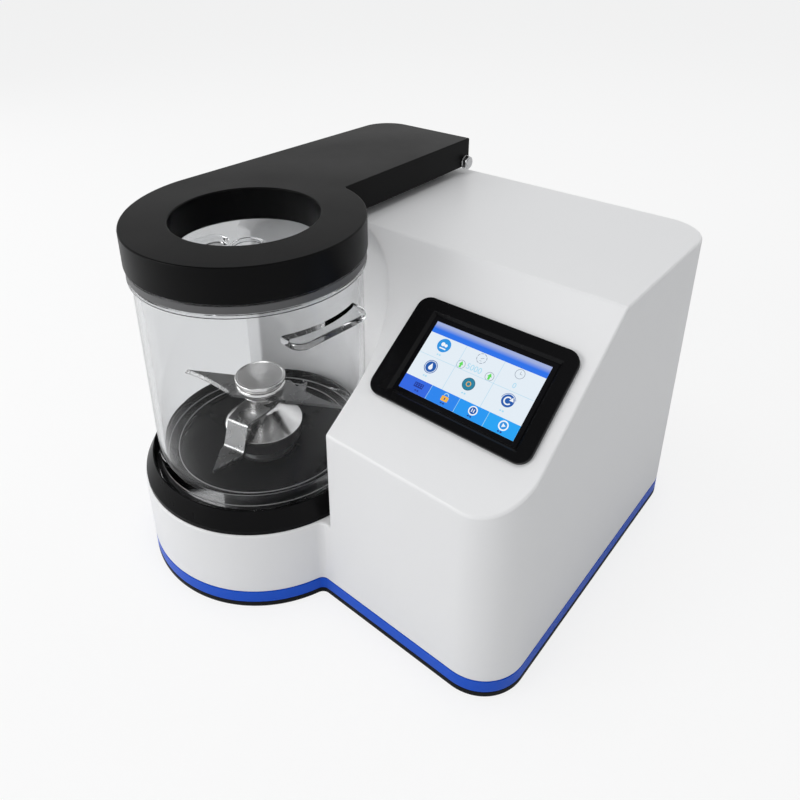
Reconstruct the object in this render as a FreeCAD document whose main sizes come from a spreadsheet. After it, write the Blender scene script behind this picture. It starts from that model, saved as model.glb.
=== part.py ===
"""Bench-top tissue grinder: a clear jar with a four-armed knife, driven by a belt from a motor behind it.

The jar stands in a collar on a round drum. A lid arm, hinged at the rear of the housing, presses the jar lid shut.
All lengths are in millimetres. Each piece is modelled about the jar's axis, and its placement then moves it so that
the whole machine stands with the middle of its base at the origin. +Y is the rear and +Z is up.
"""
import FreeCAD, Part
import math
import os
import Sketcher

doc = FreeCAD.newDocument("TissueGrinder")
sheet = doc.addObject("Spreadsheet::Sheet", "Sizes")
pieces = {}


class Size:
    """A number together with the sheet expression that gives it."""

    def __init__(self, value, text):
        self.value = float(value)
        self.text = text

    def __add__(self, other):
        other = as_size(other)
        return Size(self.value + other.value, f"({self.text} + {other.text})")

    def __radd__(self, other):
        return as_size(other) + self

    def __sub__(self, other):
        other = as_size(other)
        return Size(self.value - other.value, f"({self.text} - {other.text})")

    def __rsub__(self, other):
        return as_size(other) - self

    def __mul__(self, other):
        other = as_size(other)
        return Size(self.value * other.value, f"({self.text} * {other.text})")

    def __rmul__(self, other):
        return as_size(other) * self

    def __truediv__(self, other):
        other = as_size(other)
        return Size(self.value / other.value, f"({self.text} / {other.text})")

    def __neg__(self):
        return 0 - self


def as_size(number):
    """Lets a plain number stand in a formula."""
    return number if isinstance(number, Size) else Size(number, f"{float(number):.6f}")


def sine(angle):
    """The sine of an angle in degrees."""
    return Size(math.sin(math.radians(angle.value)), f"sin({angle.text})")


def cosine(angle):
    """The cosine of an angle in degrees."""
    return Size(math.cos(math.radians(angle.value)), f"cos({angle.text})")


def root(number):
    """The square root of a number."""
    return Size(math.sqrt(number.value), f"sqrt({number.text})")


def size(name, value):
    """Writes one driving size into the sheet and gives it back for use in formulas."""
    size.row += 1
    sheet.set(f"A{size.row}", name)
    sheet.set(f"B{size.row}", str(value))
    sheet.setAlias(f"B{size.row}", name)
    return Size(value, f"Sizes.{name}")


size.row = 0

# Housing
drum_radius = size("drum_radius", 119.0)
drum_height = size("drum_height", 86.6)
body_right = size("body_right", 300.0)
body_back = size("body_back", 322.0)
body_front = size("body_front", 37.0)
housing_height = size("housing_height", 302.0)
slope_drop = size("slope_drop", 113.0)
slope_angle = size("slope_angle", 35.0)
corner_radius = size("corner_radius", 42.0)
web_radius = size("web_radius", 8.0)
pocket_radius = size("pocket_radius", 124.5)
shell_wall = size("shell_wall", 3.0)
foot_height = size("foot_height", 1.6)
tray_top = size("tray_top", 5.2)
band_top = size("band_top", 21.6)
tray_lip_height = size("tray_lip_height", 8.0)
tray_lip_gap = size("tray_lip_gap", 0.3)
foot_radius = size("foot_radius", 15.0)
foot_inset = size("foot_inset", 45.0)
foot_screw_radius = size("foot_screw_radius", 3.5)

# Jar, its collar and its lid
collar_foot_radius = size("collar_foot_radius", 117.6)
collar_lip_height = size("collar_lip_height", 6.0)
collar_height = size("collar_height", 15.4)
collar_top_radius = size("collar_top_radius", 112.4)
collar_clearance = size("collar_clearance", 1.3)
collar_floor = size("collar_floor", 2.4)
jar_radius = size("jar_radius", 102.4)
jar_wall = size("jar_wall", 8.0)
jar_foot_ledge = size("jar_foot_ledge", 5.1)
jar_foot_height = size("jar_foot_height", 9.0)
jar_floor_rise = size("jar_floor_rise", 11.4)
jar_top_gap = size("jar_top_gap", 9.0)
jar_neck_radius = size("jar_neck_radius", 31.0)
jar_neck_bore = size("jar_neck_bore", 24.0)
jar_neck_height = size("jar_neck_height", 5.0)
lug_ledge = size("lug_ledge", 14.6)
lug_half_length = size("lug_half_length", 38.0)
lug_drop = size("lug_drop", 27.5)
lug_thickness = size("lug_thickness", 8.0)
lug_corner = size("lug_corner", 12.0)
tab_reach = size("tab_reach", 1.8)
tab_half_width = size("tab_half_width", 11.0)
tab_height = size("tab_height", 4.5)
ledge_half_width = size("ledge_half_width", 27.0)
ledge_height = size("ledge_height", 2.5)
lid_rim_wall = size("lid_rim_wall", 3.3)
lid_rim_overlap = size("lid_rim_overlap", 4.0)
lid_plate_thickness = size("lid_plate_thickness", 4.0)
lid_boss_radius = size("lid_boss_radius", 17.0)
lid_boss_height = size("lid_boss_height", 6.0)
gasket_radius = size("gasket_radius", 2.0)
seat_gap = size("seat_gap", 0.3)

# Lid arm and its hinge
arm_gap = size("arm_gap", 8.5)
arm_thickness = size("arm_thickness", 31.9)
arm_ring_radius = size("arm_ring_radius", 107.0)
arm_hole_radius = size("arm_hole_radius", 68.2)
arm_right = size("arm_right", 22.7)
arm_left = size("arm_left", 118.6)
arm_left_rear = size("arm_left_rear", 105.0)
arm_rear = size("arm_rear", 314.7)
arm_bulge_angle = size("arm_bulge_angle", 20.0)
arm_corner = size("arm_corner", 35.0)
arm_edge = size("arm_edge", 1.6)
pad_width = size("pad_width", 14.0)
pad_depth = size("pad_depth", 3.0)
hinge_depth = size("hinge_depth", 306.0)
hinge_rise = size("hinge_rise", 14.0)
hinge_pin_radius = size("hinge_pin_radius", 5.0)
hinge_pin_left = size("hinge_pin_left", 84.0)
knuckle_radius = size("knuckle_radius", 9.0)
knuckle_left = size("knuckle_left", 70.0)
knuckle_right = size("knuckle_right", 12.0)
hinge_plate_thickness = size("hinge_plate_thickness", 4.0)
hinge_plate_length = size("hinge_plate_length", 46.0)
hinge_nut_radius = size("hinge_nut_radius", 8.0)
hinge_nut_length = size("hinge_nut_length", 6.5)
screw_head = size("screw_head", 2.4)

# Knife and spindle
knife_clearance = size("knife_clearance", 0.6)
cap_radius = size("cap_radius", 36.0)
cap_height = size("cap_height", 14.0)
skirt_radius = size("skirt_radius", 38.0)
skirt_lip = size("skirt_lip", 2.5)
skirt_top_radius = size("skirt_top_radius", 15.5)
bell_height = size("bell_height", 22.0)
spacer_height = size("spacer_height", 12.0)
blade_thickness = size("blade_thickness", 3.0)
blade_reach = size("blade_reach", 88.0)
blade_root_half = size("blade_root_half", 15.0)
drop_blade_reach = size("drop_blade_reach", 79.0)
drop_blade_bend = size("drop_blade_bend", 36.0)
drop_blade_foot = size("drop_blade_foot", 46.0)
floor_sweep_gap = size("floor_sweep_gap", 9.6)
drop_blade_half = size("drop_blade_half", 12.0)
upper_blade_turn = size("upper_blade_turn", 20.0)
bead_radius = size("bead_radius", 24.0)
knob_radius = size("knob_radius", 24.5)
knob_height = size("knob_height", 15.0)
spindle_radius = size("spindle_radius", 8.5)
spindle_bottom = size("spindle_bottom", 9.0)
spindle_in_knob = size("spindle_in_knob", 5.0)
housing_flange_radius = size("housing_flange_radius", 58.0)
bearing_radius = size("bearing_radius", 20.0)
bearing_width = size("bearing_width", 12.0)
bearing_tube_wall = size("bearing_tube_wall", 8.0)
lower_bearing_bottom = size("lower_bearing_bottom", 40.0)
upper_bearing_bottom = size("upper_bearing_bottom", 68.0)
running_gap = size("running_gap", 0.05)

# Belt drive and motor
motor_back = size("motor_back", 222.0)
motor_radius = size("motor_radius", 56.0)
motor_bottom = size("motor_bottom", 58.0)
motor_length = size("motor_length", 150.0)
motor_wall = size("motor_wall", 18.0)
rotor_gap = size("rotor_gap", 0.6)
motor_shaft_radius = size("motor_shaft_radius", 8.0)
end_bell_height = size("end_bell_height", 12.0)
motor_plate = size("motor_plate", 8.0)
motor_plate_half = size("motor_plate_half", 66.0)
motor_post_radius = size("motor_post_radius", 8.0)
pulley_bottom = size("pulley_bottom", 11.0)
pulley_width = size("pulley_width", 22.0)
pulley_flange = size("pulley_flange", 2.0)
pulley_flange_reach = size("pulley_flange_reach", 4.0)
spindle_pulley_radius = size("spindle_pulley_radius", 24.0)
motor_pulley_radius = size("motor_pulley_radius", 32.0)
belt_thickness = size("belt_thickness", 3.0)
belt_gap = size("belt_gap", 0.3)
belt_side_gap = size("belt_side_gap", 0.8)

# Display on the slope, measured from the jar axis and up the slope
bezel_left = size("bezel_left", 136.2)
bezel_width = size("bezel_width", 154.5)
bezel_low = size("bezel_low", 49.8)
bezel_height = size("bezel_height", 97.0)
bezel_corner = size("bezel_corner", 12.0)
bezel_proud = size("bezel_proud", 2.2)
screen_left = size("screen_left", 161.3)
screen_width = size("screen_width", 108.0)
screen_low = size("screen_low", 63.6)
screen_height = size("screen_height", 64.8)
glass_thickness = size("glass_thickness", 1.4)
bezel_floor = size("bezel_floor", 0.8)
module_depth = size("module_depth", 9.0)
module_margin = size("module_margin", 5.0)

# Electronics in the right-hand half
supply_left = size("supply_left", 150.0)
supply_front = size("supply_front", 170.0)
supply_length = size("supply_length", 120.0)
supply_width = size("supply_width", 100.0)
supply_height = size("supply_height", 42.0)
sheet_wall = size("sheet_wall", 1.5)
board_left = size("board_left", 150.0)
board_front = size("board_front", 5.0)
board_length = size("board_length", 120.0)
board_width = size("board_width", 130.0)
board_thickness = size("board_thickness", 1.6)
standoff_height = size("standoff_height", 14.0)
standoff_radius = size("standoff_radius", 4.0)
relay_height = size("relay_height", 22.0)
capacitor_height = size("capacitor_height", 16.0)
connector_height = size("connector_height", 10.0)
chip_height = size("chip_height", 3.0)

# Rear panel
rear_trim = size("rear_trim", 2.0)
fan_left = size("fan_left", 158.0)
fan_bottom = size("fan_bottom", 150.0)
fan_side = size("fan_side", 92.0)
fan_depth = size("fan_depth", 25.0)
fan_bore = size("fan_bore", 43.0)
fan_hub_radius = size("fan_hub_radius", 17.0)
fan_tip_gap = size("fan_tip_gap", 1.2)
fan_axle_radius = size("fan_axle_radius", 2.5)
fan_strut = size("fan_strut", 3.0)
fan_blade_count = 7
grille_slot_count = 9
grille_slot_height = size("grille_slot_height", 4.0)
inlet_left = size("inlet_left", 200.0)
inlet_bottom = size("inlet_bottom", 62.0)
inlet_width = size("inlet_width", 50.0)
inlet_height = size("inlet_height", 28.0)
inlet_depth = size("inlet_depth", 26.0)
socket_width = size("socket_width", 24.0)
socket_height = size("socket_height", 16.0)
socket_depth = size("socket_depth", 20.0)
switch_left = size("switch_left", 140.0)
switch_width = size("switch_width", 24.0)
switch_height = size("switch_height", 34.0)
switch_depth = size("switch_depth", 20.0)
switch_rim = size("switch_rim", 2.5)
rocker_gap = size("rocker_gap", 0.4)
rocker_tilt = size("rocker_tilt", 9.0)
fuse_left = size("fuse_left", 182.0)
fuse_radius = size("fuse_radius", 8.0)

# Lid switch
plunger_left = size("plunger_left", 60.0)
plunger_depth = size("plunger_depth", 215.0)
plunger_radius = size("plunger_radius", 3.0)
plunger_body_radius = size("plunger_body_radius", 8.0)
plunger_body_length = size("plunger_body_length", 26.0)
plunger_travel = size("plunger_travel", 3.0)

doc.recompute()

# The middle of the base, seen from the jar axis, is moved to the origin.
overall_back = body_back + rear_trim
jar_x = (drum_radius - body_right) / 2
jar_y = (drum_radius - overall_back) / 2
slope_top_depth = slope_drop * cosine(slope_angle) / sine(slope_angle) - body_front
slope_foot = housing_height - slope_drop
jar_seat = drum_height + collar_floor
jar_inner = jar_radius - jar_wall
jar_floor_top = jar_seat + jar_floor_rise
jar_foot_radius = jar_radius + jar_foot_ledge
collar_top = drum_height + collar_height
collar_bore = jar_foot_radius + tab_reach + collar_clearance
arm_bottom = housing_height + arm_gap
hinge_height = housing_height + hinge_rise
jar_top = arm_bottom - jar_top_gap
lug_top = jar_top - lug_drop
lug_reach = jar_radius + lug_ledge
lid_rim_bottom = jar_top - lid_rim_overlap
lid_rim_radius = jar_radius + seat_gap + lid_rim_wall
cap_top = jar_floor_top + knife_clearance + cap_height
lower_blade_height = cap_top + bell_height
upper_blade_height = lower_blade_height + blade_thickness + spacer_height
knob_top = upper_blade_height + blade_thickness + knob_height
spindle_top = upper_blade_height + blade_thickness + spindle_in_knob
drop_blade_low = jar_floor_top + floor_sweep_gap


def bind(thing, prop, value):
    """Ties one property of a feature to the sheet."""
    thing.setExpression(prop, as_size(value).text)


def put(thing, x=0, y=0, z=0):
    """Places a piece, its x and y counted from the jar axis."""
    bind(thing, "Placement.Base.x", jar_x + x)
    bind(thing, "Placement.Base.y", jar_y + y)
    bind(thing, "Placement.Base.z", as_size(z))


def keep(label, thing):
    """Gives a finished piece its name and notes it for export."""
    thing.Label = label
    pieces[label] = thing
    return thing


def new_body(name, x=0, y=0, z=0):
    """An empty body whose own origin lies at the given place."""
    body = doc.addObject("PartDesign::Body", name)
    body.AllowCompound = True
    put(body, x, y, z)
    return body


def sketch_on(body, plane, lift=None):
    """An empty sketch on one of the body's own origin planes, moved along its normal by lift."""
    sketch = body.newObject("Sketcher::SketchObject", "Outline")
    face = [feature for feature in body.Origin.OriginFeatures if feature.Role == plane][0]
    sketch.AttachmentSupport = [(face, "")]
    sketch.MapMode = "FlatFace"
    if lift is not None:
        bind(sketch, "AttachmentOffset.Base.z", lift)
    return sketch


def tie(sketch, geometry, point, across, along):
    """Ties one point of a sketch to its two distances from the sketch's origin."""
    for kind, axis, distance in (("DistanceX", -2, across), ("DistanceY", -1, along)):
        distance = as_size(distance)
        if distance.text == "0.000000":
            sketch.addConstraint(Sketcher.Constraint("PointOnObject", geometry, point, axis))
        else:
            row = sketch.addConstraint(Sketcher.Constraint(kind, -1, 1, geometry, point, distance.value))
            sketch.setExpression(f"Constraints[{row}]", distance.text)


def add_runs(sketch, corners):
    """Draws a closed outline of straight runs through the corners."""
    values = [FreeCAD.Vector(as_size(x).value, as_size(y).value, 0) for x, y in corners]
    first = sketch.GeometryCount
    count = len(values)
    for index in range(count):
        sketch.addGeometry(Part.LineSegment(values[index], values[(index + 1) % count]))
    for index in range(count):
        following = first + (index + 1) % count
        sketch.addConstraint(Sketcher.Constraint("Coincident", first + index, 2, following, 1))
    for index, (x, y) in enumerate(corners):
        tie(sketch, first + index, 1, x, y)
    return sketch


def add_circles(sketch, circles):
    """Draws circles, each given as x, y and radius."""
    for x, y, radius in circles:
        centre = FreeCAD.Vector(as_size(x).value, as_size(y).value, 0)
        row = sketch.addGeometry(Part.Circle(centre, FreeCAD.Vector(0, 0, 1), as_size(radius).value))
        tie(sketch, row, 3, x, y)
        rule = sketch.addConstraint(Sketcher.Constraint("Radius", row, as_size(radius).value))
        sketch.setExpression(f"Constraints[{rule}]", as_size(radius).text)
    return sketch


def rectangle(x, y, width, height):
    """The corners of a rectangle from its lower left corner."""
    return [(x, y), (x + width, y), (x + width, y + height), (x, y + height)]


def feature(body, kind, sketch, **sizes):
    """Adds one sketch-based feature to a body."""
    made = body.newObject(f"PartDesign::{kind}", kind)
    made.Profile = sketch
    for name, value in sizes.items():
        if isinstance(value, bool):
            setattr(made, name, value)
        else:
            bind(made, name, value)
    return made


def pad(body, sketch, length):
    """Raises a sketch into a solid."""
    return feature(body, "Pad", sketch, Length=length)


def pocket(body, sketch, depth):
    """Cuts a sketch into the solid, away from the side that its plane faces."""
    return feature(body, "Pocket", sketch, Length=depth)


def spin(body, sketch, kind="Revolution"):
    """Turns a sketch about its upright axis, as a solid or as a groove."""
    made = body.newObject(f"PartDesign::{kind}", kind)
    made.Profile = sketch
    made.ReferenceAxis = (sketch, ["V_Axis"])
    made.Angle = 360
    return made


def dress(body, kind, amount, chosen):
    """Rounds or bevels the edges that the test chooses."""
    doc.recompute()
    base = body.Tip
    names = [f"Edge{row}" for row, edge in enumerate(base.Shape.Edges, 1) if chosen(edge)]
    if not names:
        raise ValueError(f"{body.Name}: no edge to dress")
    made = body.newObject(f"PartDesign::{kind}", kind)
    made.Base = (base, names)
    bind(made, "Radius" if kind == "Fillet" else "Size", amount)
    return made


def ring_array(body, original, count):
    """Repeats a feature evenly round the body's upright axis."""
    doc.recompute()
    made = body.newObject("PartDesign::PolarPattern", "PolarPattern")
    made.Originals = [original]
    axis = [item for item in body.Origin.OriginFeatures if item.Role == "Z_Axis"][0]
    made.Axis = (axis, [""])
    made.Angle = 360
    made.Occurrences = count
    body.Tip = made
    return made


def upright_at(*places):
    """A test for upright edges at the given places."""
    spots = [(as_size(x).value, as_size(y).value) for x, y in places]

    def test(edge):
        low, high = edge.BoundBox, edge.BoundBox
        thin = low.XLength < 0.01 and low.YLength < 0.01 and high.ZLength > 0.5
        return thin and any(math.hypot(low.XMin - x, low.YMin - y) < 0.5 for x, y in spots)

    return test


def level_at(*heights):
    """A test for edges that lie flat at one of the given heights."""
    levels = [as_size(height).value for height in heights]
    return lambda edge: edge.BoundBox.ZLength < 0.01 and any(abs(edge.BoundBox.ZMin - z) < 0.01 for z in levels)


def round_at(height, radius):
    """A test for whole circles of a given radius at a given height."""
    level, reach = as_size(height).value, as_size(radius).value

    def test(edge):
        box = edge.BoundBox
        flat = box.ZLength < 0.01 and abs(box.ZMin - level) < 0.01
        return flat and abs(box.XLength - 2 * reach) < 0.02

    return test


def turned(name, outline, x=0, y=0, z=0):
    """A round piece, from its half section as radius and height pairs."""
    body = new_body(name, x, y, z)
    spin(body, add_runs(sketch_on(body, "XZ_Plane"), outline))
    return body


def tube(name, inner, outer, low, height, x=0, y=0):
    """A plain round sleeve."""
    return turned(name, rectangle(inner, low, outer - inner, height), x, y)


def block(name, x, y, z, width, depth, height):
    """A plain box used as a tool."""
    made = doc.addObject("Part::Box", name)
    put(made, x, y, z)
    for prop, value in (("Length", width), ("Width", depth), ("Height", height)):
        bind(made, prop, value)
    return made


def rod(name, x, y, z, radius, length, turn=None):
    """A plain cylinder used as a tool, upright or turned about an axis given with its angle."""
    made = doc.addObject("Part::Cylinder", name)
    if turn is not None:
        made.Placement = FreeCAD.Placement(FreeCAD.Vector(), FreeCAD.Rotation(*turn))
    put(made, x, y, z)
    bind(made, "Radius", radius)
    bind(made, "Height", length)
    return made


ALONG_X = (FreeCAD.Vector(0, 1, 0), 90)
TOWARDS_FRONT = (FreeCAD.Vector(1, 0, 0), 90)


def joined(name, *things):
    """Several tools or parts as one solid."""
    made = doc.addObject("Part::MultiFuse", name)
    made.Shapes = list(things)
    return made


def cut(name, base, *tools):
    """A solid less its tools."""
    made = doc.addObject("Part::Cut", name)
    made.Base = base
    made.Tool = tools[0] if len(tools) == 1 else joined(name + "Tools", *tools)
    return made


def on_slope(body, x, up, out=0):
    """Lays a body on the slope, at a place across and up it, and out from its face."""
    put(body, x, up * cosine(slope_angle) - out * sine(slope_angle) - body_front,
        slope_foot + up * sine(slope_angle) + out * cosine(slope_angle))
    body.Placement.Rotation = FreeCAD.Rotation(FreeCAD.Vector(1, 0, 0), slope_angle.value)
    bind(body, "Placement.Rotation.Angle", slope_angle)
    return body


def plan_solid(name, inset, low, height):
    """The machine's plan outline as a solid: a drum at the front left joined to a block with rounded corners."""
    body = new_body(name)
    left = inset - drum_radius
    front = inset - body_front
    right = body_right - inset
    back = body_back - inset
    corners = [(0, front), (right, front), (right, back), (left, back), (left, 0), (0, 0)]
    pad(body, add_runs(sketch_on(body, "XY_Plane", low), corners), height)
    dress(body, "Fillet", corner_radius - inset, upright_at((right, front), (right, back), (left, back)))
    drum = drum_radius - inset
    pad(body, add_circles(sketch_on(body, "XY_Plane", low), [(0, 0, drum)]), height)
    web = root(drum * drum - front * front)
    dress(body, "Fillet", web_radius + inset, upright_at((web, front)))
    return body


def above_slope(name, sunk):
    """The wedge of space over the slope, sunk into it by a wall."""
    margin = 5
    start = -body_front - margin
    end = slope_top_depth + margin
    drop = sunk / cosine(slope_angle)
    rise = sine(slope_angle) / cosine(slope_angle)
    low = slope_foot - margin * rise - drop
    high = slope_foot + (end + body_front) * rise - drop
    body = new_body(name)
    pad(body, add_runs(sketch_on(body, "YZ_Plane"), [(start, low), (end, high), (start, high)]),
        body_right + margin)
    return body


def jar_bay(name, grown):
    """The bay that the jar stands in: round behind the jar and open to the front and left."""
    margin = 5
    body = new_body(name)
    low = drum_height - grown
    height = housing_height + margin - low
    reach = pocket_radius + grown
    pad(body, add_circles(sketch_on(body, "XY_Plane", low), [(0, 0, reach)]), height)
    side = drum_radius + margin + grown + margin
    front = body_front + margin
    corners = [(-side, -front), (reach, -front), (reach, 0), (-side, 0)]
    pad(body, add_runs(sketch_on(body, "XY_Plane", low), corners), height)
    return body


def make_housing():
    """The white moulded shell, the blue band under it and the black tray that closes the base."""
    outside = plan_solid("HousingOutside", as_size(0), band_top, housing_height - band_top)
    outside = cut("HousingOuter", outside, above_slope("SlopeOutside", as_size(0)), jar_bay("BayOutside", as_size(0)))
    inside = plan_solid("HousingInside", shell_wall, band_top, housing_height - shell_wall - band_top)
    inside = cut("HousingInner", inside, above_slope("SlopeInside", shell_wall), jar_bay("BayInside", shell_wall))
    shell_back = body_back - shell_wall - 1
    deep = shell_wall + 2
    fan_middle = fan_side / 2
    window = new_body("ScreenWindow")
    on_slope(window, 0, as_size(0))
    pad(window, add_runs(sketch_on(window, "XY_Plane", -(shell_wall + 1)), rectangle(
        screen_left - module_margin - 1, screen_low - module_margin - 1,
        screen_width + 2 * module_margin + 2, screen_height + 2 * module_margin + 2)), deep)
    shell = cut(
        "HousingShell", outside, inside, window,
        rod("SpindleHole", 0, 0, drum_height - shell_wall - 1, bearing_radius + bearing_tube_wall + seat_gap, deep),
        rod("FanHole", fan_left + fan_middle, body_back + 1, fan_bottom + fan_middle, fan_bore, deep, TOWARDS_FRONT),
        block("InletHole", inlet_left + 3, shell_back, inlet_bottom + 3, inlet_width - 6, deep, inlet_height - 6),
        block("SwitchHole", switch_left + 2, shell_back, inlet_bottom + 2, switch_width - 4, deep, switch_height - 4),
        rod("FuseHole", fuse_left, body_back + 1, inlet_bottom + inlet_height / 2, fuse_radius, deep, TOWARDS_FRONT),
        rod("PlungerHole", -plunger_left, plunger_depth, housing_height - shell_wall - 1,
            plunger_radius + 0.3, deep))
    keep("housing_shell", shell)
    keep("trim_band", cut("TrimBand", plan_solid("BandOutside", as_size(0), tray_top, band_top - tray_top),
                          plan_solid("BandInside", shell_wall, tray_top, band_top - tray_top)))
    plate = plan_solid("TrayPlate", as_size(0), foot_height, tray_top - foot_height)
    lip_out = shell_wall + tray_lip_gap
    lip = cut("TrayLip", plan_solid("LipOutside", lip_out, tray_top, tray_lip_height),
              plan_solid("LipInside", lip_out + shell_wall, tray_top, tray_lip_height))
    keep("base_tray", joined("BaseTray", plate, lip))


def foot_places():
    """Where the machine stands: four corners of the block and the front of the drum."""
    left = foot_inset - drum_radius
    return [(left, body_back - foot_inset), (body_right - foot_inset, body_back - foot_inset),
            (body_right - foot_inset, foot_inset - body_front), (left, 0), (0, foot_inset - drum_radius)]


def make_feet():
    """Rubber feet under the tray, each held by a screw from inside it."""
    body = new_body("RubberFeet")
    pad(body, add_circles(sketch_on(body, "XY_Plane"), [(x, y, foot_radius) for x, y in foot_places()]), foot_height)
    keep("rubber_feet", body)
    body = new_body("TrayScrews")
    places = [(x, y, foot_screw_radius) for x, y in foot_places()]
    pad(body, add_circles(sketch_on(body, "XY_Plane", tray_top), places), 3)
    dress(body, "Chamfer", 0.6, level_at(tray_top + 3))
    keep("tray_screws", body)


def make_collar():
    """The black collar on the drum, with three bayonet ledges over the tabs of the jar's foot."""
    lip_top = drum_height + collar_lip_height
    outline = [(bearing_radius + bearing_tube_wall + 2 * seat_gap, drum_height),
               (collar_foot_radius, drum_height), (collar_foot_radius, lip_top),
               (collar_foot_radius - 1.2, lip_top + 1.2), (collar_top_radius + 2, collar_top - 2.4),
               (collar_top_radius, collar_top), (collar_bore, collar_top), (collar_bore, jar_seat),
               (bearing_radius + bearing_tube_wall + 2 * seat_gap, jar_seat)]
    collar = turned("JarCollar", outline)
    inner = jar_foot_radius + 2 * seat_gap
    ledge = pad(collar, add_runs(sketch_on(collar, "XY_Plane", jar_seat + tab_height + 2 * seat_gap), rectangle(
        inner, -ledge_half_width, collar_bore - inner + 1, 2 * ledge_half_width)), ledge_height)
    ring_array(collar, ledge, 3)
    keep("jar_collar", collar)


def make_jar():
    """The clear jar: thick wall, stepped foot, a raised neck round the spindle and two lifting ledges."""
    foot_top = jar_seat + jar_foot_height
    rim = jar_top - 6
    neck_top = jar_floor_top + jar_neck_height
    outline = [(jar_neck_bore, jar_seat + 2.4), (jar_radius - 14, jar_seat + 2.4), (jar_radius - 10, jar_seat),
               (jar_foot_radius, jar_seat), (jar_foot_radius, foot_top - 1.5), (jar_foot_radius - 1.5, foot_top),
               (jar_radius, foot_top + 1.5), (jar_radius, rim), (jar_radius, jar_top), (jar_inner, jar_top),
               (jar_inner, jar_floor_top + 10), (jar_inner - 10, jar_floor_top),
               (jar_neck_radius, jar_floor_top), (jar_neck_radius, neck_top), (jar_neck_bore, neck_top)]
    wall = turned("JarWall", outline)
    ledges = new_body("JarLedges")
    corners = rectangle(-lug_reach, -lug_half_length, 2 * lug_reach, 2 * lug_half_length)
    pad(ledges, add_runs(sketch_on(ledges, "XY_Plane", lug_top - lug_thickness), corners), lug_thickness)
    dress(ledges, "Fillet", lug_corner, upright_at((lug_reach, lug_half_length), (lug_reach, -lug_half_length),
                                                   (-lug_reach, lug_half_length), (-lug_reach, -lug_half_length)))
    dress(ledges, "Fillet", 2, level_at(lug_top - lug_thickness))
    bore = rod("JarLedgeBore", 0, 0, lug_top - lug_thickness - 1, jar_radius - jar_wall / 2, lug_thickness + 2)
    tabs = new_body("JarTabs")
    reach = jar_foot_radius + tab_reach
    corners = rectangle(jar_foot_radius - 3, -tab_half_width, reach - jar_foot_radius + 3, 2 * tab_half_width)
    tab = pad(tabs, add_runs(sketch_on(tabs, "XY_Plane", jar_seat), corners), tab_height)
    ring_array(tabs, tab, 3)
    keep("grinding_jar", joined("GrindingJar", wall, cut("JarLedgePair", ledges, bore), tabs))
    seat = jar_top + seat_gap
    middle = jar_radius - jar_wall / 2
    keep("jar_gasket", tube("JarGasket", middle - gasket_radius, middle + gasket_radius, seat, 2 * gasket_radius))


def make_jar_lid():
    """The clear jar lid, held down by the arm, with a rim round the jar and a filling boss in the middle."""
    top = arm_bottom - seat_gap
    under = jar_top + 2 * (gasket_radius + seat_gap)
    inner = jar_radius + seat_gap
    boss = top - pad_depth + lid_boss_height
    lid_face = top - pad_depth
    outline = [(0, lid_face - lid_plate_thickness), (jar_inner - 2, lid_face - lid_plate_thickness),
               (jar_inner - 2, under), (inner, under), (inner, lid_rim_bottom), (lid_rim_radius - 1, lid_rim_bottom),
               (lid_rim_radius, lid_rim_bottom + 1), (lid_rim_radius, top), (arm_hole_radius + pad_width + 3, top),
               (arm_hole_radius + pad_width + 1, lid_face), (lid_boss_radius, lid_face),
               (lid_boss_radius - 1, boss), (lid_boss_radius - 4, boss), (lid_boss_radius - 4, boss - 3),
               (0, boss - 3)]
    keep("jar_lid", turned("JarLid", outline))


def arm_outline(sketch):
    """The arm seen from above: round over the jar, bulging to the left, then straight to the hinge."""
    ring = arm_ring_radius
    shoulder = root(ring * ring - arm_right * arm_right)
    bulge = (arm_left - ring * sine(arm_bulge_angle)) / (1 - sine(arm_bulge_angle))
    centre_x = (bulge - ring) * sine(arm_bulge_angle)
    centre_y = (bulge - ring) * cosine(arm_bulge_angle)
    meet = -ring * sine(arm_bulge_angle)
    turn = math.radians(270 - arm_bulge_angle.value)
    up = FreeCAD.Vector(0, 0, 1)
    start = math.atan2(shoulder.value, arm_right.value)
    over_jar = Part.Circle(FreeCAD.Vector(), up, ring.value)
    at_left = Part.Circle(FreeCAD.Vector(centre_x.value, centre_y.value, 0), up, bulge.value)
    spots = [FreeCAD.Vector(-arm_left.value, centre_y.value, 0), FreeCAD.Vector(-arm_left_rear.value, arm_rear.value, 0),
             FreeCAD.Vector(arm_right.value, arm_rear.value, 0), FreeCAD.Vector(arm_right.value, shoulder.value, 0)]
    sketch.addGeometry(Part.ArcOfCircle(over_jar, turn - 2 * math.pi, start))
    sketch.addGeometry(Part.ArcOfCircle(at_left, math.pi, turn))
    for first, last in zip(spots, spots[1:]):
        sketch.addGeometry(Part.LineSegment(first, last))
    for one, one_end, other, other_end in ((1, 2, 0, 1), (1, 1, 2, 1), (2, 2, 3, 1), (3, 2, 4, 1), (4, 2, 0, 2)):
        sketch.addConstraint(Sketcher.Constraint("Coincident", one, one_end, other, other_end))
    tie(sketch, 0, 3, 0, 0)
    tie(sketch, 1, 3, centre_x, centre_y)
    tie(sketch, 0, 2, arm_right, shoulder)
    tie(sketch, 3, 1, -arm_left_rear, arm_rear)
    tie(sketch, 3, 2, arm_right, arm_rear)
    row = sketch.addConstraint(Sketcher.Constraint("DistanceX", -1, 1, 0, 1, meet.value))
    sketch.setExpression(f"Constraints[{row}]", meet.text)
    row = sketch.addConstraint(Sketcher.Constraint("DistanceY", -1, 1, 1, 1, centre_y.value))
    sketch.setExpression(f"Constraints[{row}]", centre_y.text)
    return sketch


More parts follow.
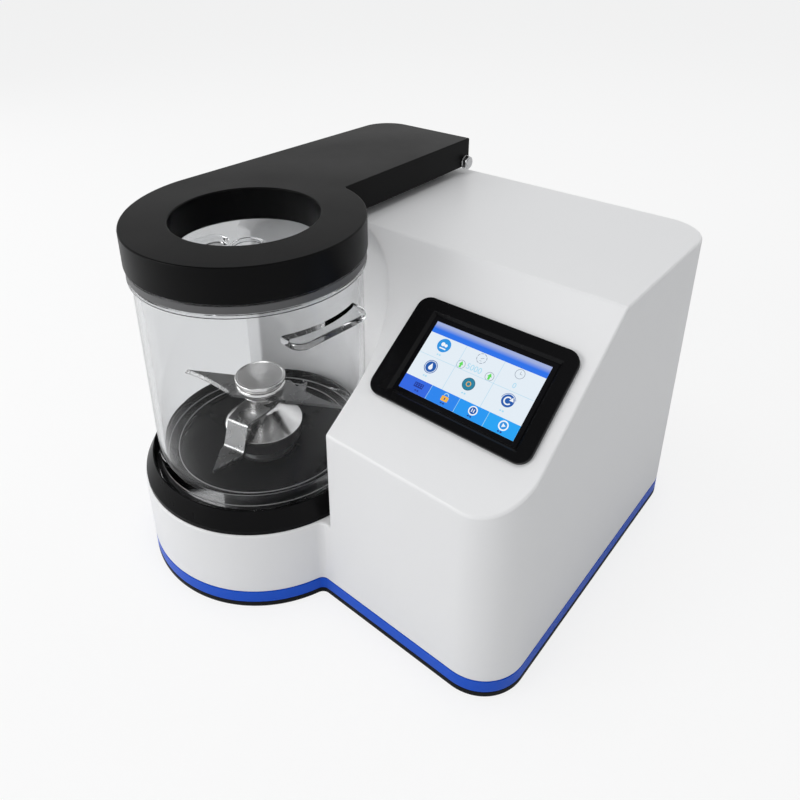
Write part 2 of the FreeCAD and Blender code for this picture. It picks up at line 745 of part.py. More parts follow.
def make_arm():
    """The black lid arm with its pressure pad, hinge pin, nut and the bracket on the housing."""
    body = new_body("ArmSolid")
    pad(body, arm_outline(sketch_on(body, "XY_Plane", arm_bottom)), arm_thickness)
    dress(body, "Fillet", arm_corner, upright_at((-arm_left_rear, arm_rear)))
    top = arm_bottom + arm_thickness
    dress(body, "Fillet", arm_edge, level_at(top))
    pocket(body, add_circles(sketch_on(body, "XY_Plane", top), [(0, 0, arm_hole_radius)]), arm_thickness)
    dress(body, "Fillet", arm_edge, round_at(top, arm_hole_radius))
    recess_height = hinge_height - arm_bottom + knuckle_radius + 3
    recess = block("HingeRecess", -knuckle_left - seat_gap, hinge_depth - knuckle_radius - 3, arm_bottom - 1,
                   knuckle_left - knuckle_right + 2 * seat_gap, arm_rear, recess_height + 1)
    pin_length = hinge_pin_left + arm_right + hinge_nut_length
    bore = rod("HingeBore", -hinge_pin_left - 1, hinge_depth, hinge_height, hinge_pin_radius + running_gap,
               pin_length + 2, ALONG_X)
    keep("lid_arm", cut("LidArm", body, recess, bore))
    keep("pressure_pad", tube("PressurePad", arm_hole_radius, arm_hole_radius + pad_width,
                              arm_bottom - pad_depth, pad_depth))
    keep("hinge_pin", rod("HingePin", -hinge_pin_left, hinge_depth, hinge_height, hinge_pin_radius,
                          pin_length, ALONG_X))
    nut = new_body("HingeNut", arm_right + seat_gap, hinge_depth, hinge_height)
    flats = [(hinge_nut_radius * cosine(as_size(60 * turn)), hinge_nut_radius * sine(as_size(60 * turn)))
             for turn in range(6)]
    plain = add_runs(sketch_on(nut, "YZ_Plane"), flats)
    pad(nut, plain, hinge_nut_length - 2 * seat_gap)
    pocket(nut, add_circles(sketch_on(nut, "YZ_Plane", hinge_nut_length),
                            [(0, 0, hinge_pin_radius + running_gap)]), hinge_nut_length + 1)
    keep("hinge_nut", nut)
    knuckle_width = knuckle_left - knuckle_right
    knuckle = rod("Knuckle", -knuckle_left, hinge_depth, hinge_height, knuckle_radius, knuckle_width, ALONG_X)
    web = block("KnuckleWeb", -knuckle_left, hinge_depth - knuckle_radius, housing_height,
                knuckle_width, 2 * knuckle_radius, hinge_height - housing_height)
    plate = block("HingePlate", -knuckle_left, hinge_depth + knuckle_radius - hinge_plate_length, housing_height,
                  knuckle_width, hinge_plate_length, hinge_plate_thickness)
    pin_hole = rod("KnuckleBore", -knuckle_left - 1, hinge_depth, hinge_height, hinge_pin_radius + running_gap,
                   knuckle_width + 2, ALONG_X)
    keep("hinge_bracket", cut("HingeBracket", joined("HingeBracketSolid", knuckle, web, plate), pin_hole))
    screws = new_body("HingeScrews")
    row = hinge_depth + knuckle_radius - hinge_plate_length + 10
    places = [(-knuckle_left + 10, row, 4), (-knuckle_right - 10, row, 4)]
    low = housing_height + hinge_plate_thickness
    pad(screws, add_circles(sketch_on(screws, "XY_Plane", low), places), screw_head)
    dress(screws, "Chamfer", 0.8, level_at(low + screw_head))
    keep("hinge_screws", screws)


def make_knife():
    """The knife: drive cap, polished bell, two crossed blades and the clamping knob on the spindle."""
    neck_top = jar_floor_top + jar_neck_height
    low = jar_floor_top + knife_clearance
    hollow = jar_neck_radius + 1.5
    shaft = spindle_radius + running_gap
    keep("drive_cap", turned("DriveCap", [
        (hollow, low), (cap_radius, low), (cap_radius, cap_top), (shaft, cap_top),
        (shaft, neck_top + 3), (hollow, neck_top + 3)]))
    neck = lower_blade_height
    keep("knife_bell", turned("KnifeBell", [
        (shaft, cap_top), (skirt_radius, cap_top), (skirt_radius, cap_top + skirt_lip),
        (skirt_radius - 1, cap_top + skirt_lip + 0.6), (skirt_top_radius + 1, neck - 3),
        (skirt_top_radius, neck - 1), (skirt_top_radius, neck), (shaft, neck)]))
    lower = upper_blade_height
    keep("blade_spacer", turned("BladeSpacer", [
        (shaft, neck + blade_thickness), (skirt_top_radius, neck + blade_thickness), (skirt_top_radius + 1.5, lower - 4),
        (skirt_top_radius + 4, lower), (shaft, lower)]))
    seat = lower + blade_thickness
    groove = bead_radius - 3.5
    bead = seat + 8
    keep("knife_knob", turned("KnifeKnob", [
        (shaft, seat), (skirt_top_radius + 3, seat), (bead_radius - 2.5, seat + 1.5), (bead_radius, seat + 4),
        (bead_radius - 1, bead - 1), (groove, bead), (groove, bead + 2.5), (knob_radius, bead + 3.5),
        (knob_radius, knob_top - 1.2), (knob_radius - 1.2, knob_top), (0, knob_top),
        (0, spindle_top + seat_gap), (shaft, spindle_top + seat_gap)]))


def make_blades():
    """The flat pointed upper blade and the lower blade, whose arms drop to sweep the jar floor."""
    upper = new_body("UpperBlade")
    upper.Placement.Rotation = FreeCAD.Rotation(FreeCAD.Vector(0, 0, 1), upper_blade_turn.value)
    bind(upper, "Placement.Rotation.Angle", upper_blade_turn)
    root_half = blade_root_half
    corners = [(blade_reach, -root_half / 3), (root_half, root_half), (-root_half, root_half),
               (-blade_reach, root_half / 3), (-root_half, -root_half), (root_half, -root_half)]
    pad(upper, add_runs(sketch_on(upper, "XY_Plane", upper_blade_height), corners), blade_thickness)
    top = upper_blade_height + blade_thickness
    pocket(upper, add_circles(sketch_on(upper, "XY_Plane", top), [(0, 0, spindle_radius + running_gap)]),
           blade_thickness)
    keep("upper_blade", upper)
    lower = new_body("LowerBlade")
    lower.Placement.Rotation = FreeCAD.Rotation(FreeCAD.Vector(0, 0, 1), upper_blade_turn.value)
    bind(lower, "Placement.Rotation.Angle", upper_blade_turn)
    high = lower_blade_height
    low = drop_blade_low
    thick = blade_thickness
    side = [(-drop_blade_reach, low), (-drop_blade_foot, low), (-drop_blade_bend, high), (drop_blade_bend, high),
            (drop_blade_foot, low), (drop_blade_reach, low), (drop_blade_reach, low + thick),
            (drop_blade_foot + thick / 2, low + thick), (drop_blade_bend + thick / 2, high + thick),
            (-drop_blade_bend - thick / 2, high + thick), (-drop_blade_foot - thick / 2, low + thick),
            (-drop_blade_reach, low + thick)]
    strip = sketch_on(lower, "YZ_Plane", -root_half)
    pad(lower, add_runs(strip, side), 2 * root_half)
    half = drop_blade_half
    trim = [(-root_half - 1, -root_half), (-half, -root_half), (-half, -drop_blade_foot),
            (half / 2, -drop_blade_reach), (half / 2, -drop_blade_reach - 1), (-root_half - 1, -drop_blade_reach - 1)]
    other = [(root_half + 1, -root_half), (half, -root_half), (half, -drop_blade_foot),
             (half / 2 + 1, -drop_blade_reach), (half / 2 + 1, -drop_blade_reach - 1),
             (root_half + 1, -drop_blade_reach - 1)]
    deep = high + thick - low + 2
    for outline in (trim, other):
        for flip in (1, -1):
            turned_round = [(x * flip, y * flip) for x, y in outline]
            pocket(lower, add_runs(sketch_on(lower, "XY_Plane", high + thick + 1), turned_round), deep)
    pocket(lower, add_circles(sketch_on(lower, "XY_Plane", high + thick), [(0, 0, spindle_radius + running_gap)]),
           thick + 1)
    keep("lower_blade", lower)


def make_spindle():
    """The spindle, its two bearings, the seal and the flanged tube that carries them under the drum."""
    keep("spindle", turned("Spindle", [
        (0, spindle_bottom), (spindle_radius - 1, spindle_bottom), (spindle_radius, spindle_bottom + 1),
        (spindle_radius, spindle_top - 1), (spindle_radius - 1, spindle_top), (0, spindle_top)]))
    shaft = spindle_radius + running_gap
    bore = bearing_radius + running_gap
    outer = bearing_radius + bearing_tube_wall
    flange_top = drum_height - shell_wall
    low = lower_bearing_bottom - 3
    neck = jar_seat + 1.8
    lower_top = lower_bearing_bottom + bearing_width
    upper_top = upper_bearing_bottom + bearing_width
    keep("bearing_tube", turned("BearingTube", [
        (bearing_radius - 3, low), (outer, low), (outer, flange_top - 8), (housing_flange_radius, flange_top - 6),
        (housing_flange_radius, flange_top), (outer, flange_top), (outer, neck),
        (bearing_radius - 3, neck), (bearing_radius - 3, upper_top + 6), (bore, upper_top + 6),
        (bore, upper_bearing_bottom), (bearing_radius - 3, upper_bearing_bottom),
        (bearing_radius - 3, lower_top), (bore, lower_top), (bore, lower_bearing_bottom),
        (bearing_radius - 3, lower_bearing_bottom)]))
    for label, bottom in (("lower_bearing", lower_bearing_bottom), ("upper_bearing", upper_bearing_bottom)):
        shield = 0.8
        inner = spindle_radius + 4
        rim = bearing_radius - 4
        keep(label, turned(label.title().replace("_", ""), [
            (shaft, bottom), (inner, bottom), (inner, bottom + shield), (rim, bottom + shield), (rim, bottom),
            (bearing_radius, bottom), (bearing_radius, bottom + bearing_width), (rim, bottom + bearing_width),
            (rim, bottom + bearing_width - shield), (inner, bottom + bearing_width - shield),
            (inner, bottom + bearing_width), (shaft, bottom + bearing_width)]))
    keep("shaft_seal", turned("ShaftSeal", [
        (shaft, upper_top + seat_gap), (bearing_radius, upper_top + seat_gap), (bearing_radius, upper_top + 5.5),
        (shaft + 3, upper_top + 5.5), (shaft, upper_top + 4)]))


def pulley_outline(shaft, radius):
    """Half section of a flanged belt pulley."""
    low = pulley_bottom
    top = pulley_bottom + pulley_width
    reach = radius + pulley_flange_reach
    return [(shaft, low), (reach, low), (reach, low + pulley_flange), (radius, low + pulley_flange),
            (radius, top - pulley_flange), (reach, top - pulley_flange), (reach, top), (shaft, top)]


def belt_loop(name, grown, low, height):
    """The solid inside a belt line that wraps both pulleys with straight runs between them."""
    body = new_body(name)
    near = spindle_pulley_radius + grown
    far = motor_pulley_radius + grown
    lean = (far - near) / motor_back
    level = root(1 - lean * lean)
    pad(body, add_circles(sketch_on(body, "XY_Plane", low), [(0, 0, near)]), height)
    pad(body, add_circles(sketch_on(body, "XY_Plane", low), [(0, motor_back, far)]), height)
    corners = [(near * level, -near * lean), (far * level, motor_back - far * lean),
               (-far * level, motor_back - far * lean), (-near * level, -near * lean)]
    pad(body, add_runs(sketch_on(body, "XY_Plane", low), corners), height)
    return body


def make_drive():
    """Two pulleys, the belt, and the motor standing on its bracket behind the jar."""
    keep("spindle_pulley", turned("SpindlePulley", pulley_outline(spindle_radius + running_gap, spindle_pulley_radius)))
    keep("motor_pulley", turned("MotorPulley", pulley_outline(motor_shaft_radius + running_gap, motor_pulley_radius),
                                0, motor_back))
    low = pulley_bottom + pulley_flange + belt_side_gap
    width = pulley_width - 2 * pulley_flange - 2 * belt_side_gap
    keep("drive_belt", cut("DriveBelt", belt_loop("BeltOutside", belt_gap + belt_thickness, low, width),
                           belt_loop("BeltInside", belt_gap, low, width)))
    top = motor_bottom + motor_length
    shaft = motor_shaft_radius + running_gap
    rotor = motor_radius - motor_wall - rotor_gap
    core_low = motor_bottom + end_bell_height + 6
    core_top = top - end_bell_height - 6
    keep("motor_rotor", turned("MotorRotor", [
        (0, spindle_bottom), (motor_shaft_radius, spindle_bottom), (motor_shaft_radius, core_low), (rotor, core_low),
        (rotor, core_top), (motor_shaft_radius, core_top), (motor_shaft_radius, top + 4), (0, top + 4)], 0, motor_back))
    keep("motor_stator", tube("MotorStator", motor_radius - motor_wall, motor_radius,
                              motor_bottom + end_bell_height, motor_length - 2 * end_bell_height, 0, motor_back))
    for label, bottom in (("motor_lower_bell", motor_bottom), ("motor_upper_bell", top - end_bell_height)):
        keep(label, tube(label.title().replace("_", ""), shaft, motor_radius, bottom, end_bell_height, 0, motor_back))
    bracket = new_body("MotorBracket", 0, motor_back)
    half = motor_plate_half
    pad(bracket, add_runs(sketch_on(bracket, "XY_Plane", motor_bottom - motor_plate),
                          rectangle(-half, -half, 2 * half, 2 * half)), motor_plate)
    dress(bracket, "Fillet", motor_post_radius, upright_at((half, half), (half, -half), (-half, half), (-half, -half)))
    post = half - motor_post_radius
    posts = [(post, post, motor_post_radius), (post, -post, motor_post_radius),
             (-post, post, motor_post_radius), (-post, -post, motor_post_radius)]
    pad(bracket, add_circles(sketch_on(bracket, "XY_Plane", tray_top), posts), motor_bottom - motor_plate - tray_top)
    pocket(bracket, add_circles(sketch_on(bracket, "XY_Plane", motor_bottom), [(0, 0, motor_radius / 2)]), motor_plate)
    keep("motor_bracket", bracket)


def make_display():
    """The touch display: glass set in a black frame on the slope, with its module behind the shell."""
    frame = on_slope(new_body("DisplayBezel"), 0, as_size(0))
    pad(frame, add_runs(sketch_on(frame, "XY_Plane"), rectangle(bezel_left, bezel_low, bezel_width, bezel_height)),
        bezel_proud)
    right = bezel_left + bezel_width
    high = bezel_low + bezel_height
    dress(frame, "Fillet", bezel_corner, upright_at((bezel_left, bezel_low), (right, bezel_low),
                                                    (bezel_left, high), (right, high)))
    dress(frame, "Chamfer", 0.8, level_at(bezel_proud))
    pocket(frame, add_runs(sketch_on(frame, "XY_Plane", bezel_proud), rectangle(
        screen_left, screen_low, screen_width, screen_height)), bezel_proud)
    keep("display_bezel", frame)
    glass = on_slope(new_body("DisplayGlass"), 0, as_size(0))
    gap = 0.2
    pad(glass, add_runs(sketch_on(glass, "XY_Plane"), rectangle(
        screen_left + gap, screen_low + gap, screen_width - 2 * gap, screen_height - 2 * gap)), glass_thickness)
    keep("display_glass", glass)
    module = on_slope(new_body("DisplayModule"), 0, as_size(0))
    pad(module, add_runs(sketch_on(module, "XY_Plane", -module_depth), rectangle(
        screen_left - module_margin, screen_low - module_margin,
        screen_width + 2 * module_margin, screen_height + 2 * module_margin)), module_depth)
    keep("display_module", module)


def make_electronics():
    """The mains power supply and the control board on its pillars, both on the tray."""
    case = new_body("PowerSupply")
    pad(case, add_runs(sketch_on(case, "XY_Plane", tray_top), rectangle(
        supply_left, supply_front, supply_length, supply_width)), supply_height)
    dress(case, "Fillet", 2, upright_at((supply_left, supply_front), (supply_left + supply_length, supply_front),
                                        (supply_left, supply_front + supply_width),
                                        (supply_left + supply_length, supply_front + supply_width)))
    slots = [rectangle(supply_left + 12, supply_front + 14 + 14 * row, supply_length - 24, 5) for row in range(6)]
    for slot in slots:
        pocket(case, add_runs(sketch_on(case, "XY_Plane", tray_top + supply_height), slot), sheet_wall)
    keep("power_supply", case)
    pillars = new_body("BoardPillars")
    inset = standoff_radius + 2
    spots = [(board_left + inset, board_front + inset), (board_left + board_length - inset, board_front + inset),
             (board_left + inset, board_front + board_width - inset),
             (board_left + board_length - inset, board_front + board_width - inset)]
    pad(pillars, add_circles(sketch_on(pillars, "XY_Plane", tray_top), [(x, y, standoff_radius) for x, y in spots]),
        standoff_height)
    keep("board_pillars", pillars)
    board = new_body("ControlBoard")
    low = tray_top + standoff_height
    pad(board, add_runs(sketch_on(board, "XY_Plane", low), rectangle(
        board_left, board_front, board_length, board_width)), board_thickness)
    parts = [(20, 20, 34, 34, chip_height), (70, 18, 26, 40, relay_height),
             (20, 70, 30, 40, capacitor_height), (64, 76, 40, 20, connector_height)]
    for across, along, width, depth, height in parts:
        pad(board, add_runs(sketch_on(board, "XY_Plane", low + board_thickness), rectangle(
            board_left + across, board_front + along, width, depth)), height)
    keep("control_board", board)


def make_fan():
    """The cooling fan inside the rear wall and the slotted grille outside it."""
    middle_x = fan_left + fan_side / 2
    middle_z = fan_bottom + fan_side / 2
    front = body_back - shell_wall - fan_depth
    frame = block("FanFrameBlock", fan_left, front, fan_bottom, fan_side, fan_depth, fan_side)
    bore = rod("FanBore", middle_x, body_back, middle_z, fan_bore, fan_depth + 2 * shell_wall, TOWARDS_FRONT)
    holder = joined(
        "FanHolder",
        rod("FanMotor", middle_x, front + fan_strut + 1, middle_z, fan_hub_radius, fan_strut + 1, TOWARDS_FRONT),
        block("FanStrutAcross", fan_left + 2, front, middle_z - 2, fan_side - 4, fan_strut, 4),
        block("FanStrutUp", middle_x - 2, front, fan_bottom + 2, 4, fan_strut, fan_side - 4),
        rod("FanAxle", middle_x, front + fan_depth - 4, middle_z, fan_axle_radius, fan_depth - 5, TOWARDS_FRONT))
    keep("fan_frame", joined("FanFrame", cut("FanShroud", frame, bore), holder))
    wheel = new_body("FanWheel", middle_x, front + fan_depth - 2, middle_z)
    wheel.Placement.Rotation = FreeCAD.Rotation(*TOWARDS_FRONT)
    depth = fan_depth - 8
    pad(wheel, add_circles(sketch_on(wheel, "XY_Plane"), [(0, 0, fan_hub_radius)]), depth)
    reach = fan_bore - fan_tip_gap
    blade = [(fan_hub_radius - 1, -1), (reach - 2, -4), (reach - 2, 8), (fan_hub_radius - 1, 3)]
    vane = pad(wheel, add_runs(sketch_on(wheel, "XY_Plane", 2), blade), depth - 4)
    ring_array(wheel, vane, fan_blade_count)
    pocket(wheel, add_circles(sketch_on(wheel, "XY_Plane", depth), [(0, 0, fan_axle_radius + running_gap)]), depth)
    keep("fan_wheel", wheel)
    plate = block("GrillePlate", fan_left, body_back, fan_bottom, fan_side, rear_trim, fan_side)
    pitch = (fan_side - 14) / grille_slot_count
    slots = [block(f"GrilleSlot{row}", fan_left + 10, body_back - 1,
                   fan_bottom + 7 + pitch * row + (pitch - grille_slot_height) / 2,
                   fan_side - 20, rear_trim + 2, grille_slot_height) for row in range(grille_slot_count)]
    keep("vent_grille", cut("VentGrille", plate, *slots))


def make_inlet():
    """The mains inlet, the fuse holder and the rocker switch in the lower rear wall."""
    out = body_back + rear_trim
    flange = block("InletFlange", inlet_left, body_back, inlet_bottom, inlet_width, rear_trim, inlet_height)
    inner = block("InletCase", inlet_left + 3.3, out - inlet_depth, inlet_bottom + 3.3,
                  inlet_width - 6.6, inlet_depth, inlet_height - 6.6)
    middle_x = inlet_left + inlet_width / 2
    middle_z = inlet_bottom + inlet_height / 2
    socket = block("InletSocket", middle_x - socket_width / 2, out - socket_depth, middle_z - socket_height / 2,
                   socket_width, socket_depth + 1, socket_height)
    keep("power_inlet", cut("PowerInlet", joined("InletSolid", flange, inner), socket))
    pins = joined("InletPins", *[
        block(f"InletPin{row}", middle_x + across - 1, out - socket_depth, middle_z + rise - 2, 2, socket_depth - 4, 4)
        for row, (across, rise) in enumerate(((-7, -1), (0, 3), (7, -1)))])
    keep("inlet_pins", pins)
    holder = new_body("FuseHolder", fuse_left, body_back, middle_z)
    holder.Placement.Rotation = FreeCAD.Rotation(FreeCAD.Vector(1, 0, 0), -90)
    spin(holder, add_runs(sketch_on(holder, "XZ_Plane"), [
        (0, -24), (fuse_radius - 0.5, -24), (fuse_radius - 0.5, 0), (fuse_radius + 2, 0),
        (fuse_radius + 1, rear_trim), (0, rear_trim)]))
    keep("fuse_holder", holder)
    flange = block("SwitchFlange", switch_left, body_back, inlet_bottom, switch_width, rear_trim, switch_height)
    inner = block("SwitchCase", switch_left + 2.3, out - switch_depth, inlet_bottom + 2.3,
                  switch_width - 4.6, switch_depth, switch_height - 4.6)
    well = block("SwitchWell", switch_left + switch_rim + 1.5, out - switch_depth + 3, inlet_bottom + switch_rim + 1.5,
                 switch_width - 2 * switch_rim - 3, switch_depth, switch_height - 2 * switch_rim - 3)
    keep("switch_frame", cut("SwitchFrame", joined("SwitchSolid", flange, inner), well))
    rocker = new_body("SwitchRocker", switch_left + switch_rim + 1.5 + rocker_gap, body_back,
                      inlet_bottom + switch_height / 2)
    half = switch_height / 2 - switch_rim - 1.5 - 2 * rocker_gap
    rise = half * sine(rocker_tilt)
    face = rear_trim - 0.6
    outline = [(face - 2 * rise, -half + 0.6), (face - rise / 2, 0), (face, half - 0.6), (face - 7, half - 2),
               (face - 10, 0), (face - 8, -half + 2)]
    pad(rocker, add_runs(sketch_on(rocker, "YZ_Plane"), outline), switch_width - 2 * switch_rim - 3 - 2 * rocker_gap)
    keep("switch_rocker", rocker)


def make_lid_switch():
    """The safety switch under the housing top, whose plunger the closed arm holds down."""
    under = housing_height - shell_wall
    body = tube("LidSwitch", plunger_radius + 0.3, plunger_body_radius, under - plunger_body_length,
                plunger_body_length, -plunger_left, plunger_depth)
    keep("lid_switch", body)
    high = arm_bottom - seat_gap
    keep("switch_plunger", turned("SwitchPlunger", [
        (0, under - plunger_body_length + plunger_travel + 1),
        (plunger_radius, under - plunger_body_length + plunger_travel + 1),
        (plunger_radius, high - 1), (plunger_radius - 1, high), (0, high)], -plunger_left, plunger_depth))


def write_pieces():
    """Checks every feature and piece, then writes each piece under its own name."""
    doc.recompute()
    for thing in doc.Objects:
        if "Invalid" in thing.State or "Error" in thing.State:
            raise ValueError(f"{thing.Name} ({thing.Label}) failed: {thing.State}")
    for label, thing in pieces.items():
        if thing.Shape.isNull() or not thing.Shape.isValid():
            raise ValueError(f"{label} has no valid shape")
    os.makedirs("parts", exist_ok=True)
    for label, thing in pieces.items():
        thing.Shape.exportStep(f"parts/{label}.step")
        box = thing.Shape.BoundBox
        print(f"{label:18s} solids {len(thing.Shape.Solids)}  volume {thing.Shape.Volume / 1000:9.2f} cm3  "
              f"x {box.XMin:7.1f} {box.XMax:7.1f}  y {box.YMin:7.1f} {box.YMax:7.1f}  z {box.ZMin:6.1f} {box.ZMax:6.1f}")


make_housing()
make_feet()
make_collar()
make_jar()
make_jar_lid()
make_arm()
make_knife()
make_blades()
make_spindle()
make_drive()
make_display()
make_electronics()
make_fan()
make_inlet()
make_lid_switch()
write_pieces()
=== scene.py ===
"""Looks of a bench-top tissue grinder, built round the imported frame.

Lengths in the classes are millimetres about the jar's axis, with +Y to the rear. A piece is modelled there
and then settled in the row frame, in metres.
"""
import logging
import math
from collections.abc import Callable, Iterator, Sequence
from contextlib import contextmanager
from dataclasses import dataclass
from enum import Enum

import bmesh
import bpy
from mathutils import Matrix, Vector


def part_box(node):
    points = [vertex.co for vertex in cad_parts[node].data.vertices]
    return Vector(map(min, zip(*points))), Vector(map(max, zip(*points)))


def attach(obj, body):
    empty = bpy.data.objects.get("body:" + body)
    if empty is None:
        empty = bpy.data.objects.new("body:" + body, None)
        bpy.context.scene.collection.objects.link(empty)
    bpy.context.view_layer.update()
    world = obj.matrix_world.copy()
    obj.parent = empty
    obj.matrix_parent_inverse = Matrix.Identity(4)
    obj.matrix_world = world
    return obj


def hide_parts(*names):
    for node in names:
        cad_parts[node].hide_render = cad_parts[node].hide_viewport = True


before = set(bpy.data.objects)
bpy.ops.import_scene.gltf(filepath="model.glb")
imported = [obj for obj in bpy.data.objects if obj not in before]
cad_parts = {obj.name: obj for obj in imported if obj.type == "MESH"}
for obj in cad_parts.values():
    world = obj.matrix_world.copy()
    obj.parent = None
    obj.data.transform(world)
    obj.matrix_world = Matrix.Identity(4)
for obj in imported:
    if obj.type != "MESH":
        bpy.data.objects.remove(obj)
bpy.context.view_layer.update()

logging.basicConfig(level=logging.INFO, format="%(message)s")
log = logging.getLogger("tissue grinder")

MM = 0.001
WELD = 1e-6
ROUND_STEPS = 160
Point = tuple[float, float]
Corner = tuple[float, ...]
Colour = tuple[float, float, float]
Mesh = bpy.types.Object


# Finishes

class Effect(Enum):
    """The small-scale effect that a finish carries."""

    PLAIN = "plain"
    PEEL = "peel"
    LEATHER = "leather"
    TURNED = "turned"
    GROUND = "ground"
    SCREEN_FADE = "screen fade"


class Groups:
    """The shader node groups, each built once when it is first asked for."""

    @staticmethod
    def start(name: str, inputs: dict[str, float], outputs: Sequence[str]) -> bpy.types.NodeTree:
        """Makes an empty group with number sockets.

        Args:
            name: The group's name.
            inputs: Socket names and their values.
            outputs: Names of the number sockets that come out.

        Returns:
            The group with its input and output nodes.
        """
        tree = bpy.data.node_groups.new(name, "ShaderNodeTree")
        for label, value in inputs.items():
            made = tree.interface.new_socket(label, in_out="INPUT", socket_type="NodeSocketFloat")
            made.default_value = value
        for label in outputs:
            tree.interface.new_socket(label, in_out="OUTPUT", socket_type="NodeSocketFloat")
        tree.nodes.new("NodeGroupInput").name = "In"
        tree.nodes.new("NodeGroupOutput").name = "Out"
        return tree

    @staticmethod
    def place(tree: bpy.types.NodeTree) -> bpy.types.NodeSocket:
        """Adds object coordinates to a tree."""
        return tree.nodes.new("ShaderNodeTexCoord").outputs["Object"]

    @classmethod
    def uneven_gloss(cls) -> bpy.types.NodeTree:
        """Roughness that drifts softly between two values.

        Returns:
            The group, with its scale and both values as inputs.
        """
        name = "Uneven gloss"
        if name in bpy.data.node_groups:
            return bpy.data.node_groups[name]
        tree = cls.start(name, {"Scale": 30.0, "Low": 0.3, "High": 0.4}, ["Roughness"])
        link = tree.links.new
        noise = tree.nodes.new("ShaderNodeTexNoise")
        noise.inputs["Detail"].default_value = 5.0
        span = tree.nodes.new("ShaderNodeMapRange")
        span.inputs["From Min"].default_value = 0.3
        span.inputs["From Max"].default_value = 0.7
        link(cls.place(tree), noise.inputs["Vector"])
        link(tree.nodes["In"].outputs["Scale"], noise.inputs["Scale"])
        link(noise.outputs["Fac"], span.inputs["Value"])
        link(tree.nodes["In"].outputs["Low"], span.inputs["To Min"])
        link(tree.nodes["In"].outputs["High"], span.inputs["To Max"])
        link(span.outputs["Result"], tree.nodes["Out"].inputs["Roughness"])
        return tree

    @classmethod
    def pebbles(cls) -> bpy.types.NodeTree:
        """Height of a fine moulded or painted grain.

        Returns:
            The group, with its scale as input.
        """
        name = "Pebble grain"
        if name in bpy.data.node_groups:
            return bpy.data.node_groups[name]
        tree = cls.start(name, {"Scale": 900.0}, ["Height"])
        link = tree.links.new
        cells = tree.nodes.new("ShaderNodeTexVoronoi")
        cells.feature = "SMOOTH_F1"
        noise = tree.nodes.new("ShaderNodeTexNoise")
        noise.inputs["Detail"].default_value = 3.0
        both = tree.nodes.new("ShaderNodeMath")
        both.operation = "ADD"
        place = cls.place(tree)
        for node in (cells, noise):
            link(place, node.inputs["Vector"])
            link(tree.nodes["In"].outputs["Scale"], node.inputs["Scale"])
        link(cells.outputs["Distance"], both.inputs[0])
        link(noise.outputs["Fac"], both.inputs[1])
        link(both.outputs["Value"], tree.nodes["Out"].inputs["Height"])
        return tree

    @classmethod
    def lathe_marks(cls) -> bpy.types.NodeTree:
        """Height of the fine rings that turning leaves round an upright axis.

        Returns:
            The group, with its scale and the axis as inputs.
        """
        name = "Lathe marks"
        if name in bpy.data.node_groups:
            return bpy.data.node_groups[name]
        tree = cls.start(name, {"Scale": 900.0, "Axis X": 0.0, "Axis Y": 0.0}, ["Height"])
        link = tree.links.new
        parts = tree.nodes.new("ShaderNodeSeparateXYZ")
        link(cls.place(tree), parts.inputs["Vector"])
        offsets = []
        for axis in ("X", "Y"):
            apart = tree.nodes.new("ShaderNodeMath")
            apart.operation = "SUBTRACT"
            link(parts.outputs[axis], apart.inputs[0])
            link(tree.nodes["In"].outputs[f"Axis {axis}"], apart.inputs[1])
            offsets.append(apart.outputs["Value"])
        across = tree.nodes.new("ShaderNodeCombineXYZ")
        for socket, offset in zip(("X", "Y"), offsets):
            link(offset, across.inputs[socket])
        reach = tree.nodes.new("ShaderNodeVectorMath")
        reach.operation = "LENGTH"
        link(across.outputs["Vector"], reach.inputs[0])
        profile = tree.nodes.new("ShaderNodeCombineXYZ")
        link(reach.outputs["Value"], profile.inputs["X"])
        link(parts.outputs["Z"], profile.inputs["Y"])
        noise = tree.nodes.new("ShaderNodeTexNoise")
        noise.inputs["Detail"].default_value = 4.0
        link(profile.outputs["Vector"], noise.inputs["Vector"])
        link(tree.nodes["In"].outputs["Scale"], noise.inputs["Scale"])
        link(noise.outputs["Fac"], tree.nodes["Out"].inputs["Height"])
        return tree

    @classmethod
    def grind_marks(cls) -> bpy.types.NodeTree:
        """Height of straight grinding marks, drawn out along the blade.

        Returns:
            The group, with its scale as input.
        """
        name = "Grind marks"
        if name in bpy.data.node_groups:
            return bpy.data.node_groups[name]
        tree = cls.start(name, {"Scale": 60.0}, ["Height"])
        link = tree.links.new
        stretch = tree.nodes.new("ShaderNodeMapping")
        stretch.inputs["Rotation"].default_value = (0.0, 0.0, math.radians(-20.0))
        stretch.inputs["Scale"].default_value = (1.0, 14.0, 14.0)
        noise = tree.nodes.new("ShaderNodeTexNoise")
        noise.inputs["Detail"].default_value = 4.0
        link(cls.place(tree), stretch.inputs["Vector"])
        link(stretch.outputs["Vector"], noise.inputs["Vector"])
        link(tree.nodes["In"].outputs["Scale"], noise.inputs["Scale"])
        link(noise.outputs["Fac"], tree.nodes["Out"].inputs["Height"])
        return tree


